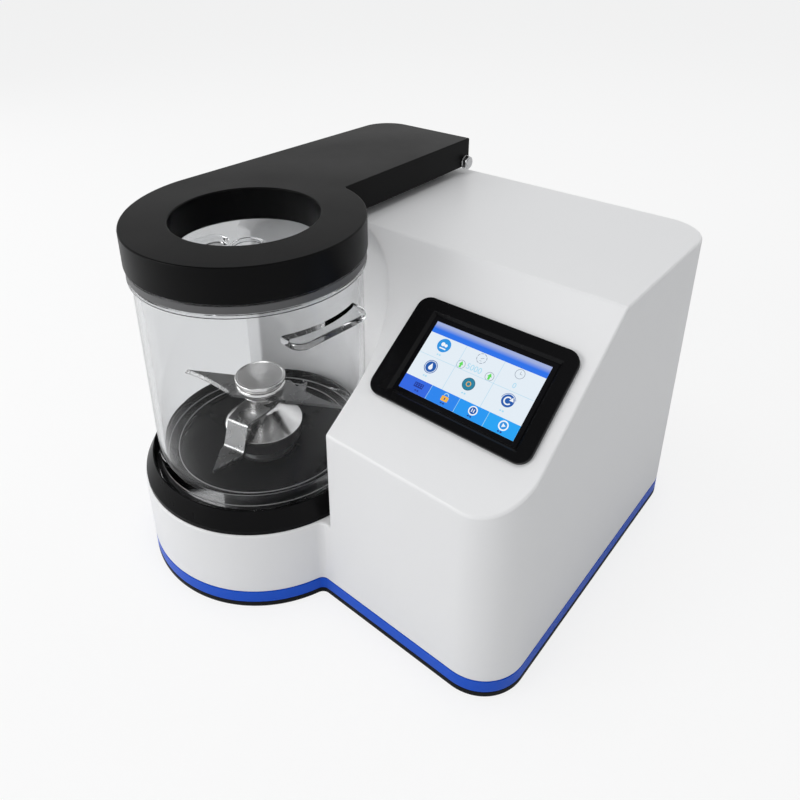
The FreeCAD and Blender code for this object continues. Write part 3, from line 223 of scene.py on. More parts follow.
@dataclass(frozen=True)
class Finish:
    """One surface finish and the numbers that give its look."""

    name: str
    colour: Colour
    roughness: float = 0.5
    metallic: float = 0.0
    specular: float = 0.5
    coat: float = 0.0
    coat_roughness: float = 0.06
    transmission: float = 0.0
    ior: float = 1.45
    anisotropic: float = 0.0
    glow: float = 0.0
    drift: float = 0.0
    drift_scale: float = 30.0
    effect: Effect = Effect.PLAIN
    effect_scale: float = 900.0
    bump: float = 0.0

    def material(self) -> bpy.types.Material:
        """Builds the finish's material, or gives back the one already built.

        Returns:
            The material.
        """
        if self.name in bpy.data.materials:
            return bpy.data.materials[self.name]
        made = bpy.data.materials.new(self.name)
        made.use_nodes = True
        tree = made.node_tree
        shader = tree.nodes["Principled BSDF"]
        numbers = {"Roughness": self.roughness, "Metallic": self.metallic,
                   "Specular IOR Level": self.specular, "Coat Weight": self.coat,
                   "Coat Roughness": self.coat_roughness, "Transmission Weight": self.transmission,
                   "IOR": self.ior, "Anisotropic": self.anisotropic}
        for label, value in numbers.items():
            shader.inputs[label].default_value = value
        shader.inputs["Base Color"].default_value = (*self.colour, 1.0)
        if self.glow:
            shader.inputs["Base Color"].default_value = (0.01, 0.01, 0.012, 1.0)
            shader.inputs["Emission Color"].default_value = (*self.colour, 1.0)
            shader.inputs["Emission Strength"].default_value = self.glow
        if self.anisotropic:
            round_axis = tree.nodes.new("ShaderNodeTangent")
            round_axis.direction_type = "RADIAL"
            round_axis.axis = "Z"
            tree.links.new(round_axis.outputs["Tangent"], shader.inputs["Tangent"])
        if self.drift:
            gloss = self.group(tree, Groups.uneven_gloss())
            gloss.inputs["Scale"].default_value = self.drift_scale
            gloss.inputs["Low"].default_value = self.roughness
            gloss.inputs["High"].default_value = self.roughness + self.drift
            tree.links.new(gloss.outputs["Roughness"], shader.inputs["Roughness"])
        self.add_effect(tree, shader)
        return made

    @staticmethod
    def group(tree: bpy.types.NodeTree, group: bpy.types.NodeTree) -> bpy.types.Node:
        """Places a node group in a tree.

        Args:
            tree: The tree that takes the group.
            group: The node group.

        Returns:
            The node that holds the group.
        """
        node = tree.nodes.new("ShaderNodeGroup")
        node.node_tree = group
        return node

    def add_effect(self, tree: bpy.types.NodeTree, shader: bpy.types.Node) -> None:
        """Adds the finish's small-scale effect to its material.

        Args:
            tree: The material's tree.
            shader: The shader that the effect feeds.
        """
        if self.effect is Effect.SCREEN_FADE:
            self.add_fade(tree, shader)
            return
        makers = {Effect.PEEL: Groups.pebbles, Effect.LEATHER: Groups.pebbles,
                  Effect.TURNED: Groups.lathe_marks, Effect.GROUND: Groups.grind_marks}
        if self.effect not in makers or not self.bump:
            return
        marks = self.group(tree, makers[self.effect]())
        marks.inputs["Scale"].default_value = self.effect_scale
        if self.effect is Effect.TURNED:
            marks.inputs["Axis X"].default_value = JAR_AXIS.x
            marks.inputs["Axis Y"].default_value = JAR_AXIS.y
        bump = tree.nodes.new("ShaderNodeBump")
        bump.inputs["Strength"].default_value = 1.0
        bump.inputs["Distance"].default_value = self.bump * MM
        tree.links.new(marks.outputs["Height"], bump.inputs["Height"])
        tree.links.new(bump.outputs["Normal"], shader.inputs["Normal"])

    def add_fade(self, tree: bpy.types.NodeTree, shader: bpy.types.Node) -> None:
        """Fades the top bar of the lit screen from blue up to a pale grey.

        Args:
            tree: The material's tree.
            shader: The shader whose glow fades.
        """
        parts = tree.nodes.new("ShaderNodeSeparateXYZ")
        tree.links.new(tree.nodes.new("ShaderNodeTexCoord").outputs["Object"], parts.inputs["Vector"])
        span = tree.nodes.new("ShaderNodeMapRange")
        display = Display()
        high = display.lit_low + display.lit_height
        for label, up in (("From Min", high - display.fade), ("From Max", high)):
            span.inputs[label].default_value = Slope().point(0, up, 0).z * MM
        tree.links.new(parts.outputs["Z"], span.inputs["Value"])
        ramp = tree.nodes.new("ShaderNodeValToRGB")
        ramp.color_ramp.elements[0].color = (*self.colour, 1.0)
        ramp.color_ramp.elements[0].position = 0.15
        ramp.color_ramp.elements[1].color = (0.36, 0.44, 0.74, 1.0)
        tree.links.new(span.outputs["Result"], ramp.inputs["Fac"])
        tree.links.new(ramp.outputs["Color"], shader.inputs["Emission Color"])


def jar_axis() -> Vector:
    """Gives the jar's axis in the row frame, in metres."""
    low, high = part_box("jar_collar")
    return Vector(((low[0] + high[0]) / 2, (low[1] + high[1]) / 2, 0.0))


JAR_AXIS = jar_axis()

WHITE = Finish("gloss white shell", (0.83, 0.83, 0.835), 0.34, coat=0.14, coat_roughness=0.20, drift=0.06,
               drift_scale=8.0, effect=Effect.PEEL, effect_scale=420.0, bump=0.004)
BLUE = Finish("blue band", (0.003, 0.085, 0.60), 0.30, specular=0.25, drift=0.06)
TRAY_BLACK = Finish("black tray", (0.004, 0.004, 0.0045), 0.45, specular=0.15, effect=Effect.PEEL,
                    effect_scale=900.0, bump=0.01)
COLLAR_BLACK = Finish("satin black collar", (0.003, 0.003, 0.0034), 0.26, specular=0.10, drift=0.06)
ARM_BLACK = Finish("grained black paint", (0.003, 0.003, 0.0032), 0.34, specular=0.10, drift=0.06,
                   drift_scale=14.0,
                   effect=Effect.LEATHER, effect_scale=1500.0, bump=0.018)
CLEAR = Finish("clear moulding", (0.90, 0.905, 0.91), 0.02, transmission=1.0, ior=1.36)
CLEAR_WALL = Finish("clear jar wall", (0.92, 0.925, 0.93), 0.02, transmission=1.0, ior=1.2)
# Opaque grey that paints the highlights along the clear jar's edges onto thin rings: painted highlight.
PAINTED_EDGE_HIGHLIGHT = Finish("painted edge highlight", (0.30, 0.30, 0.305), 0.4, drift=0.05)
RIM_GREY = Finish("frosted grey rim", (0.10, 0.10, 0.102), 0.38, specular=0.5, drift=0.08)
SEAL = Finish("grey seal", (0.16, 0.16, 0.165), 0.45)
RUBBER = Finish("black rubber", (0.018, 0.018, 0.018), 0.65)
MIRROR_STEEL = Finish("turned polished steel", (0.90, 0.89, 0.88), 0.16, metallic=1.0, anisotropic=0.85,
                      effect=Effect.TURNED, effect_scale=2600.0, bump=0.004)
GROUND_STEEL = Finish("ground steel", (0.34, 0.34, 0.34), 0.24, metallic=1.0, drift=0.08, drift_scale=60.0,
                      effect=Effect.GROUND, effect_scale=90.0, bump=0.01)
DARK_CAP = Finish("dark cap", (0.035, 0.035, 0.036), 0.36, drift=0.08, effect=Effect.TURNED,
                  effect_scale=900.0,
                  bump=0.01)
HINGE_STEEL = Finish("bright hinge steel", (0.66, 0.66, 0.67), 0.22, metallic=1.0, drift=0.08,
                     drift_scale=80.0)
ZINC = Finish("zinc plate", (0.60, 0.60, 0.58), 0.34, metallic=1.0, drift=0.1, drift_scale=120.0)
ALUMINIUM = Finish("machined aluminium", (0.66, 0.67, 0.68), 0.34, metallic=1.0, drift=0.08)
BEARING = Finish("bearing steel", (0.62, 0.62, 0.63), 0.15, metallic=1.0, drift=0.05)
ENAMEL = Finish("motor enamel", (0.045, 0.048, 0.052), 0.4, drift=0.1)
POWDER = Finish("powder coat", (0.16, 0.165, 0.175), 0.55, effect=Effect.PEEL, effect_scale=1100.0, bump=0.03)
PIANO_BLACK = Finish("gloss black frame", (0.004, 0.004, 0.0045), 0.24, specular=0.16, drift=0.04)
SCREEN_BLACK = Finish("dark screen glass", (0.004, 0.004, 0.005), 0.08, specular=0.3, drift=0.02)
SHEET_METAL = Finish("plain sheet metal", (0.55, 0.55, 0.56), 0.4, metallic=1.0, drift=0.1)
BOARD_GREEN = Finish("circuit board", (0.01, 0.10, 0.04), 0.4, drift=0.1)
FAN_BLACK = Finish("black moulding", (0.02, 0.02, 0.021), 0.42, effect=Effect.PEEL, effect_scale=1200.0,
                   bump=0.01)
SWITCH_GREY = Finish("grey moulding", (0.20, 0.20, 0.205), 0.45, drift=0.08)
LAMINATED = Finish("laminated steel", (0.30, 0.30, 0.31), 0.45, metallic=1.0, drift=0.1)


def lit(name: str, colour: Colour, strength: float = 0.95) -> Finish:
    """A finish for something shown on the lit screen."""
    return Finish(name, colour, 0.3, specular=0.3, glow=strength)


LIT_GROUND = lit("screen ground", (0.80, 0.88, 0.95))
LIT_TOP = Finish("screen top bar", (0.020, 0.17, 0.84), 0.3, specular=0.3, glow=0.95,
                 effect=Effect.SCREEN_FADE)
LIT_LINE = lit("screen line", (0.50, 0.74, 0.88))
LIT_NAVY = lit("screen navy", (0.010, 0.035, 0.30))
LIT_DEEP = lit("screen deep blue", (0.010, 0.10, 0.42))
LIT_SKY = lit("screen sky blue", (0.02, 0.30, 0.78))
LIT_TEAL = lit("screen teal", (0.015, 0.22, 0.36))
LIT_DUSK = lit("screen dusk", (0.02, 0.10, 0.16))
LIT_WHITE = lit("screen white", (0.92, 0.96, 1.0))
LIT_GREEN = lit("screen green", (0.12, 0.72, 0.10))
LIT_GREY = lit("screen grey", (0.36, 0.42, 0.50))
LIT_PALE = lit("screen pale blue", (0.40, 0.72, 0.90))
LIT_AMBER = lit("screen amber", (0.90, 0.48, 0.06))
LIT_BARS = (lit("screen bar one", (0.030, 0.14, 0.78)), lit("screen bar two", (0.020, 0.24, 0.88)),
            lit("screen bar three", (0.014, 0.32, 0.92)), lit("screen bar four", (0.014, 0.38, 0.94)))


# Modelling steps

def pick(obj: Mesh) -> None:
    """Makes one object the only selected and active one.

    Args:
        obj: The object.
    """
    if bpy.context.object is not None and bpy.context.object.mode != "OBJECT":
        bpy.ops.object.mode_set(mode="OBJECT")
    bpy.ops.object.select_all(action="DESELECT")
    obj.select_set(True)
    bpy.context.view_layer.objects.active = obj


@contextmanager
def editing(obj: Mesh) -> Iterator[None]:
    """Opens an object in edit mode with all of it selected, and closes it again.

    Args:
        obj: The object to edit.

    Yields:
        Nothing, while the object is open.
    """
    pick(obj)
    bpy.ops.object.mode_set(mode="EDIT")
    bpy.ops.mesh.select_mode(type="VERT")
    bpy.ops.mesh.select_all(action="SELECT")
    yield
    bpy.ops.object.mode_set(mode="OBJECT")


def choose_edges(obj: Mesh, test: Callable[[bmesh.types.BMEdge], bool]) -> None:
    """Selects the edges that pass a test, in edit mode.

    Args:
        obj: The object being edited.
        test: Says whether an edge is wanted.
    """
    bpy.ops.mesh.select_mode(type="EDGE")
    bpy.ops.mesh.select_all(action="DESELECT")
    mesh = bmesh.from_edit_mesh(obj.data)
    for edge in [edge for edge in mesh.edges if test(edge)]:
        edge.select_set(True)
    bmesh.update_edit_mesh(obj.data)


def choose_faces(obj: Mesh, test: Callable[[bmesh.types.BMFace], bool]) -> None:
    """Selects the faces that pass a test, in edit mode.

    Args:
        obj: The object being edited.
        test: Says whether a face is wanted.
    """
    bpy.ops.mesh.select_mode(type="FACE")
    bpy.ops.mesh.select_all(action="DESELECT")
    mesh = bmesh.from_edit_mesh(obj.data)
    for face in [face for face in mesh.faces if test(face)]:
        face.select_set(True)
    bmesh.update_edit_mesh(obj.data)


def arc(x: float, y: float, radius: float, start: float, end: float, steps: int) -> list[Point]:
    """Points along an arc.

    Args:
        x: The centre's first coordinate.
        y: The centre's second coordinate.
        radius: The arc's radius.
        start: The angle that it starts at, in degrees.
        end: The angle that it ends at, in degrees.
        steps: How many runs it is drawn in.

    Returns:
        The points, both ends included.
    """
    turns = [math.radians(start + (end - start) * step / steps) for step in range(steps + 1)]
    return [(x + radius * math.cos(turn), y + radius * math.sin(turn)) for turn in turns]


def softened(corners: Sequence[Corner], closed: bool = True, steps: int = 5) -> list[Point]:
    """Rounds the corners of an outline that give a radius as their third number.

    Args:
        corners: Corners as x, y and, where it is rounded, a radius.
        closed: Whether the outline closes on itself.
        steps: Runs for each quarter turn of rounding.

    Returns:
        The outline's points.
    """
    outline: list[Point] = []
    count = len(corners)
    for index, corner in enumerate(corners):
        here = Vector(corner[:2])
        at_end = not closed and index in (0, count - 1)
        if len(corner) < 3 or at_end:
            outline.append((here.x, here.y))
            continue
        back = (Vector(corners[index - 1][:2]) - here).normalized()
        on = (Vector(corners[(index + 1) % count][:2]) - here).normalized()
        half = back.angle(on) / 2
        middle = here + (back + on).normalized() * corner[2] / math.sin(half)
        first = here + back * corner[2] / math.tan(half) - middle
        last = here + on * corner[2] / math.tan(half) - middle
        start = math.degrees(math.atan2(first.y, first.x))
        swing = (math.degrees(math.atan2(last.y, last.x)) - start + 180) % 360 - 180
        runs = max(1, round(steps * abs(swing) / 90))
        outline += arc(middle.x, middle.y, corner[2], start, start + swing, runs)
    return outline


def drawn(points: Sequence[Vector]) -> Mesh:
    """Draws a line by extruding one vertex from each point to the next.

    Args:
        points: The points, in millimetres.

    Returns:
        The line as a mesh of edges.
    """
    bpy.ops.object.select_all(action="DESELECT")
    bpy.ops.mesh.primitive_plane_add(size=MM)
    obj = bpy.context.object
    with editing(obj):
        bpy.ops.mesh.merge(type="CENTER")
        bpy.ops.transform.translate(value=points[0] * MM)
        for before, after in zip(points, points[1:]):
            bpy.ops.mesh.extrude_region_move(TRANSFORM_OT_translate={"value": (after - before) * MM})
    return obj


def turned(outline: Sequence[Point], ring: bool = False, steps: int = ROUND_STEPS) -> Mesh:
    """A round piece, spun from its half section.

    Args:
        outline: Radius and height pairs.
        ring: Whether the section closes on itself away from the axis.
        steps: Runs round the axis.

    Returns:
        The piece, its axis at the origin.
    """
    path = [Vector((radius, 0.0, height)) for radius, height in outline]
    if ring:
        path.append(path[0].copy())
    obj = drawn(path)
    with editing(obj):
        bpy.ops.mesh.spin(steps=steps, angle=2 * math.pi, center=(0, 0, 0), axis=(0, 0, 1))
        bpy.ops.mesh.select_all(action="SELECT")
        bpy.ops.mesh.remove_doubles(threshold=WELD)
        bpy.ops.mesh.normals_make_consistent(inside=False)
    return obj


def closed(obj: Mesh) -> Mesh:
    """Welds points that lie on each other and turns every face outwards.

    Args:
        obj: The shape.

    Returns:
        The shape.
    """
    with editing(obj):
        bpy.ops.mesh.remove_doubles(threshold=10 * WELD)
        bpy.ops.mesh.normals_make_consistent(inside=False)
    return obj


def prism(outline: Sequence[Point], low: float, high: float) -> Mesh:
    """An upright piece with the same outline at every height.

    Args:
        outline: The outline from above.
        low: The height of its underside.
        high: The height of its top.

    Returns:
        The piece.
    """
    obj = drawn([Vector((x, y, low)) for x, y in outline])
    with editing(obj):
        bpy.ops.mesh.edge_face_add()
        bpy.ops.mesh.extrude_region_move(TRANSFORM_OT_translate={"value": (0, 0, (high - low) * MM)})
    return closed(obj)


def stood(obj: Mesh, turn: Sequence[float], shift: Sequence[float] = (0, 0, 0)) -> Mesh:
    """Turns a piece, moves it and applies both to its mesh.

    Args:
        obj: The piece.
        turn: The angles about X, Y and Z, in degrees.
        shift: The move, in millimetres.

    Returns:
        The piece.
    """
    pick(obj)
    obj.rotation_euler = [math.radians(angle) for angle in turn]
    obj.location = Vector(shift) * MM
    bpy.ops.object.transform_apply(location=True, rotation=True, scale=True)
    return obj


def copied(obj: Mesh) -> Mesh:
    """Copies a shape.

    Args:
        obj: The shape.

    Returns:
        The copy, with a mesh of its own.
    """
    twin = obj.copy()
    twin.data = obj.data.copy()
    bpy.context.collection.objects.link(twin)
    return twin


def repeated(obj: Mesh, turns: Sequence[float]) -> list[Mesh]:
    """Sets a shape and its copies round the upright axis.

    Args:
        obj: The shape, modelled at its unturned place.
        turns: The angle of each, in degrees.

    Returns:
        The shapes, one for each angle.
    """
    shapes = [copied(obj) for _ in turns[1:]] + [obj]
    return [stood(shape, (0, 0, turn)) for shape, turn in zip(shapes, turns)]


def rod(x: float, y: float, z: float, radius: float, length: float,
        turn: Sequence[float] = (0, 0, 0)) -> Mesh:
    """A plain cylinder used as a tool, starting at a place and pointing up before it is turned."""
    outline = arc(0, 0, radius, 0, 360, 64)[:-1]
    return stood(prism(outline, 0, length), turn, (x, y, z))


def brick(x: float, y: float, z: float, width: float, depth: float, height: float) -> Mesh:
    """A plain box from its lowest corner."""
    return prism([(x, y), (x + width, y), (x + width, y + depth), (x, y + depth)], z, z + height)


def combined(obj: Mesh, tools: Sequence[Mesh], operation: str = "DIFFERENCE") -> Mesh:
    """Cuts, joins or crosses a piece with tools, which are used up.

    Args:
        obj: The piece.
        tools: The shapes that it is changed by, in order.
        operation: The Boolean's name for what they do.

    Returns:
        The piece.
    """
    for tool in tools:
        change = obj.modifiers.new("Shape", "BOOLEAN")
        change.operation = operation
        change.solver = "EXACT"
        change.object = tool
        pick(obj)
        bpy.ops.object.modifier_apply(modifier=change.name)
        bpy.data.objects.remove(tool, do_unlink=True)
    return obj


def eased(obj: Mesh, width: float, segments: int = 3, angle: float = 35.0) -> Mesh:
    """Rounds every edge that is sharper than an angle.

    Args:
        obj: The piece.
        width: How far the rounding reaches from the edge.
        segments: How many facets it has.
        angle: The angle past which an edge is rounded, in degrees.

    Returns:
        The piece.
    """
    bevel = obj.modifiers.new("Eased edges", "BEVEL")
    bevel.width = width * MM
    bevel.segments = segments
    bevel.limit_method = "ANGLE"
    bevel.angle_limit = math.radians(angle)
    bevel.use_clamp_overlap = False
    bevel.miter_outer = "MITER_ARC"
    pick(obj)
    bpy.ops.object.modifier_apply(modifier=bevel.name)
    return obj


def smoothed(obj: Mesh, angle: float = 32.0) -> Mesh:
    """Shades a piece smoothly across shallow edges, with flat faces kept flat.

    Args:
        obj: The piece.
        angle: The angle past which an edge stays sharp, in degrees.

    Returns:
        The piece.
    """
    pick(obj)
    bpy.ops.object.shade_smooth_by_angle(angle=math.radians(angle))
    normals = obj.modifiers.new("Even normals", "WEIGHTED_NORMAL")
    normals.keep_sharp = True
    normals.weight = 100
    bpy.ops.object.modifier_apply(modifier=normals.name)
    return obj


def merged(objects: Sequence[Mesh]) -> Mesh:
    """Joins several shapes into one object.

    Args:
        objects: The shapes.

    Returns:
        The first of them, which now holds them all.
    """
    pick(objects[0])
    for obj in objects[1:]:
        obj.select_set(True)
    bpy.ops.object.join()
    return objects[0]


def painted(obj: Mesh, finish: Finish) -> Mesh:
    """Gives a shape one finish.

    Args:
        obj: The shape.
        finish: The finish.

    Returns:
        The shape.
    """
    obj.data.materials.clear()
    obj.data.materials.append(finish.material())
    return obj


def install(obj: Mesh, name: str, body: str, replaces: Sequence[str] = ()) -> Mesh:
    """Settles a finished piece in the row frame and says what it rides on and stands for.

    Args:
        obj: The piece, modelled about the jar's axis.
        name: Its name in the scene.
        body: The body that it moves with.
        replaces: The frame's nodes that it stands for.

    Returns:
        The piece.
    """
    pick(obj)
    obj.location = JAR_AXIS
    bpy.ops.object.transform_apply(location=True, rotation=True, scale=True)
    obj.name = name
    obj.data.name = name
    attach(obj, body)
    if replaces:
        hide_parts(*replaces)
    log.info("piece %s rides on %s, %d faces", name, body, len(obj.data.polygons))
    return obj


# Sub-assemblies

# Angles round the axis of the jar's three tabs, which lock under the collar's ledges
TAB_TURNS = (0, 120, 240)


@dataclass
class Slope:
    """The sloping front of the housing, on which the display lies."""

    front: float = 37.0
    foot: float = 189.0
    angle: float = 35.0

    def point(self, x: float, up: float, out: float) -> Vector:
        """Finds a place on the slope.

        Args:
            x: How far across it lies.
            up: How far up the slope it lies from the slope's foot.
            out: How far it stands out from the slope.

        Returns:
            The place about the jar's axis.
        """
        lean = math.radians(self.angle)
        return Vector((x, up * math.cos(lean) - out * math.sin(lean) - self.front,
                       self.foot + up * math.sin(lean) + out * math.cos(lean)))

    def lay(self, obj: Mesh) -> Mesh:
        """Lays a piece that was modelled flat onto the slope."""
        return stood(obj, (self.angle, 0, 0), (0, -self.front, self.foot))


@dataclass
class Housing:
    """The white shell, the blue band and the black tray."""

    drum: float = 119.0
    drum_top: float = 86.6
    right: float = 300.0
    back: float = 322.0
    front: float = Slope.front
    top: float = 302.0
    corner: float = 42.0
    web: float = 8.0
    bay: float = 124.5
    bay_end: float = 80.0
    wall: float = 3.0
    band_top: float = 17.8
    tray_top: float = 5.9
    foot: float = 0.2
    ease: float = 2.2
    band_ease: float = 0.35
    tray_ease: float = 0.8
    spindle_hole: float = 28.6
    plunger_hole: tuple[float, ...] = (-60.0, 215.0, 3.3)
    vent_hole: tuple[float, ...] = (204.0, 196.0, 43.0)
    fuse_hole: tuple[float, ...] = (182.0, 76.0, 8.0)
    inlet_hole: tuple[float, ...] = (203.0, 65.0, 44.0, 22.0)
    switch_hole: tuple[float, ...] = (142.0, 64.0, 20.0, 30.0)

    def plan(self, inset: float = 0.0) -> list[Point]:
        """The machine's outline from above: a drum joined to a block with round corners.

        Args:
            inset: How far the outline is drawn in.

        Returns:
            The outline.
        """
        drum = self.drum - inset
        front = self.front - inset
        web = self.web + inset
        corner = self.corner - inset
        right = self.right - inset
        back = self.back - inset
        reach = math.sqrt((drum + web) ** 2 - (front + web) ** 2)
        contact = math.degrees(math.atan2(-(front + web), reach))
        return (arc(0, 0, drum, 180, 360 + contact, 96)
                + arc(reach, -(front + web), web, 180 + contact, 90, 10)
                + arc(right - corner, corner - front, corner, -90, 0, 22)
                + arc(right - corner, back - corner, corner, 0, 90, 22)
                + arc(corner - drum, back - corner, corner, 90, 180, 22))

    def form(self, inset: float, low: float) -> Mesh:
        """The housing as a solid: the block with its slope and the bay that the jar stands in.

        Args:
            inset: How far the solid is drawn in from the housing's outside.
            low: The height of its underside.

        Returns:
            The solid.
        """
        solid = prism(self.plan(inset), low, self.top - inset)
        reach = self.bay + inset
        far = self.drum + 30
        end = self.bay_end + inset
        start = math.degrees(math.asin(end / reach))
        bay = arc(0, 0, reach, 0, 180 - start, 84) + [(-far, end), (-far, -far), (reach, -far)]
        combined(solid, [prism(bay, self.drum_top - inset, self.top + 10)])
        slope = Slope()
        with editing(solid):
            bpy.ops.mesh.bisect(plane_co=slope.point(0, 0, -inset) * MM,
                                plane_no=slope.point(0, 0, 1) - slope.point(0, 0, 0),
                                use_fill=True, clear_outer=True, threshold=WELD)
        return solid

    def rear_cuts(self) -> list[Mesh]:
        """Makes tools for the holes in the rear wall, the drum's top and the housing's top.

        Returns:
            The tools.
        """
        behind, inside, through = self.back + 5, self.back - 8, 15

        def round_hole(hole: Sequence[float]) -> Mesh:
            """A tool for a round hole in the rear wall."""
            across, up, radius = hole
            return rod(across, behind, up, radius, through, (90, 0, 0))

        def square_hole(hole: Sequence[float]) -> Mesh:
            """A tool for a square hole in the rear wall."""
            across, up, width, height = hole
            return brick(across, inside, up, width, through, height)

        x, y, radius = self.plunger_hole
        return [round_hole(self.vent_hole), square_hole(self.inlet_hole), square_hole(self.switch_hole),
                round_hole(self.fuse_hole), rod(0, 0, self.drum_top - 10, self.spindle_hole, 20),
                rod(x, y, self.top - 10, radius, 20)]

    def build(self) -> None:
        """Models the shell, the band and the tray."""
        shell = self.form(0.0, self.band_top)
        eased(shell, self.ease, 4)
        # The bay's rear touches the slope's upper edge, and the rounding there would rise above the top.
        for vertex in shell.data.vertices:
            vertex.co.z = min(vertex.co.z, self.top * MM)
        combined(shell, [self.form(self.wall, self.band_top - 5)] + self.rear_cuts())
        smoothed(painted(shell, WHITE))
        install(shell, "moulded_shell", "base", ["housing_shell"])
        band = prism(self.plan(), self.tray_top, self.band_top)
        eased(band, self.band_ease, 2)
        combined(band, [prism(self.plan(self.wall), self.tray_top - 5, self.band_top + 5)])
        smoothed(painted(band, BLUE))
        install(band, "colour_band", "base", ["trim_band"])
        tray = prism(self.plan(), self.foot, self.tray_top)
        eased(tray, self.tray_ease, 3)
        smoothed(painted(tray, TRAY_BLACK))
        install(tray, "bottom_tray", "base", ["base_tray"])


@dataclass
class Collar:
    """The black collar that the jar stands in."""

    foot: float = 117.6
    low: float = 86.6
    lip: float = 4.2
    top: float = 106.5
    top_radius: float = 109.6
    mouth: float = 108.6
    mouth_deep: float = 2.5
    bore: float = 110.6
    bore_start: float = 6.0
    seat: float = 89.0
    neck: float = 28.6
    ledge_inner: float = 108.1
    ledge_half: float = 27.0
    ledge_low: float = 94.1
    ledge_high: float = 96.6

    def build(self) -> None:
        """Models the collar with its three bayonet ledges."""
        outline = softened([(self.neck, self.low), (self.foot, self.low, 0.5),
                            (self.foot, self.low + self.lip, 0.7), (self.top_radius, self.top, 0.7),
                            (self.mouth, self.top, 0.4),
                            (self.mouth, self.top - self.mouth_deep, 0.4),
                            (self.bore, self.top - self.bore_start, 0.8),
                            (self.bore, self.seat, 0.8), (self.neck, self.seat)])
        ring = turned(outline, ring=True, steps=192)
        ledge = brick(self.ledge_inner, -self.ledge_half, self.ledge_low,
                      self.bore - self.ledge_inner + 1, 2 * self.ledge_half, self.ledge_high - self.ledge_low)
        combined(ring, repeated(ledge, TAB_TURNS), "UNION")
        smoothed(painted(ring, COLLAR_BLACK))
        install(ring, "drum_collar", "base", ["jar_collar"])


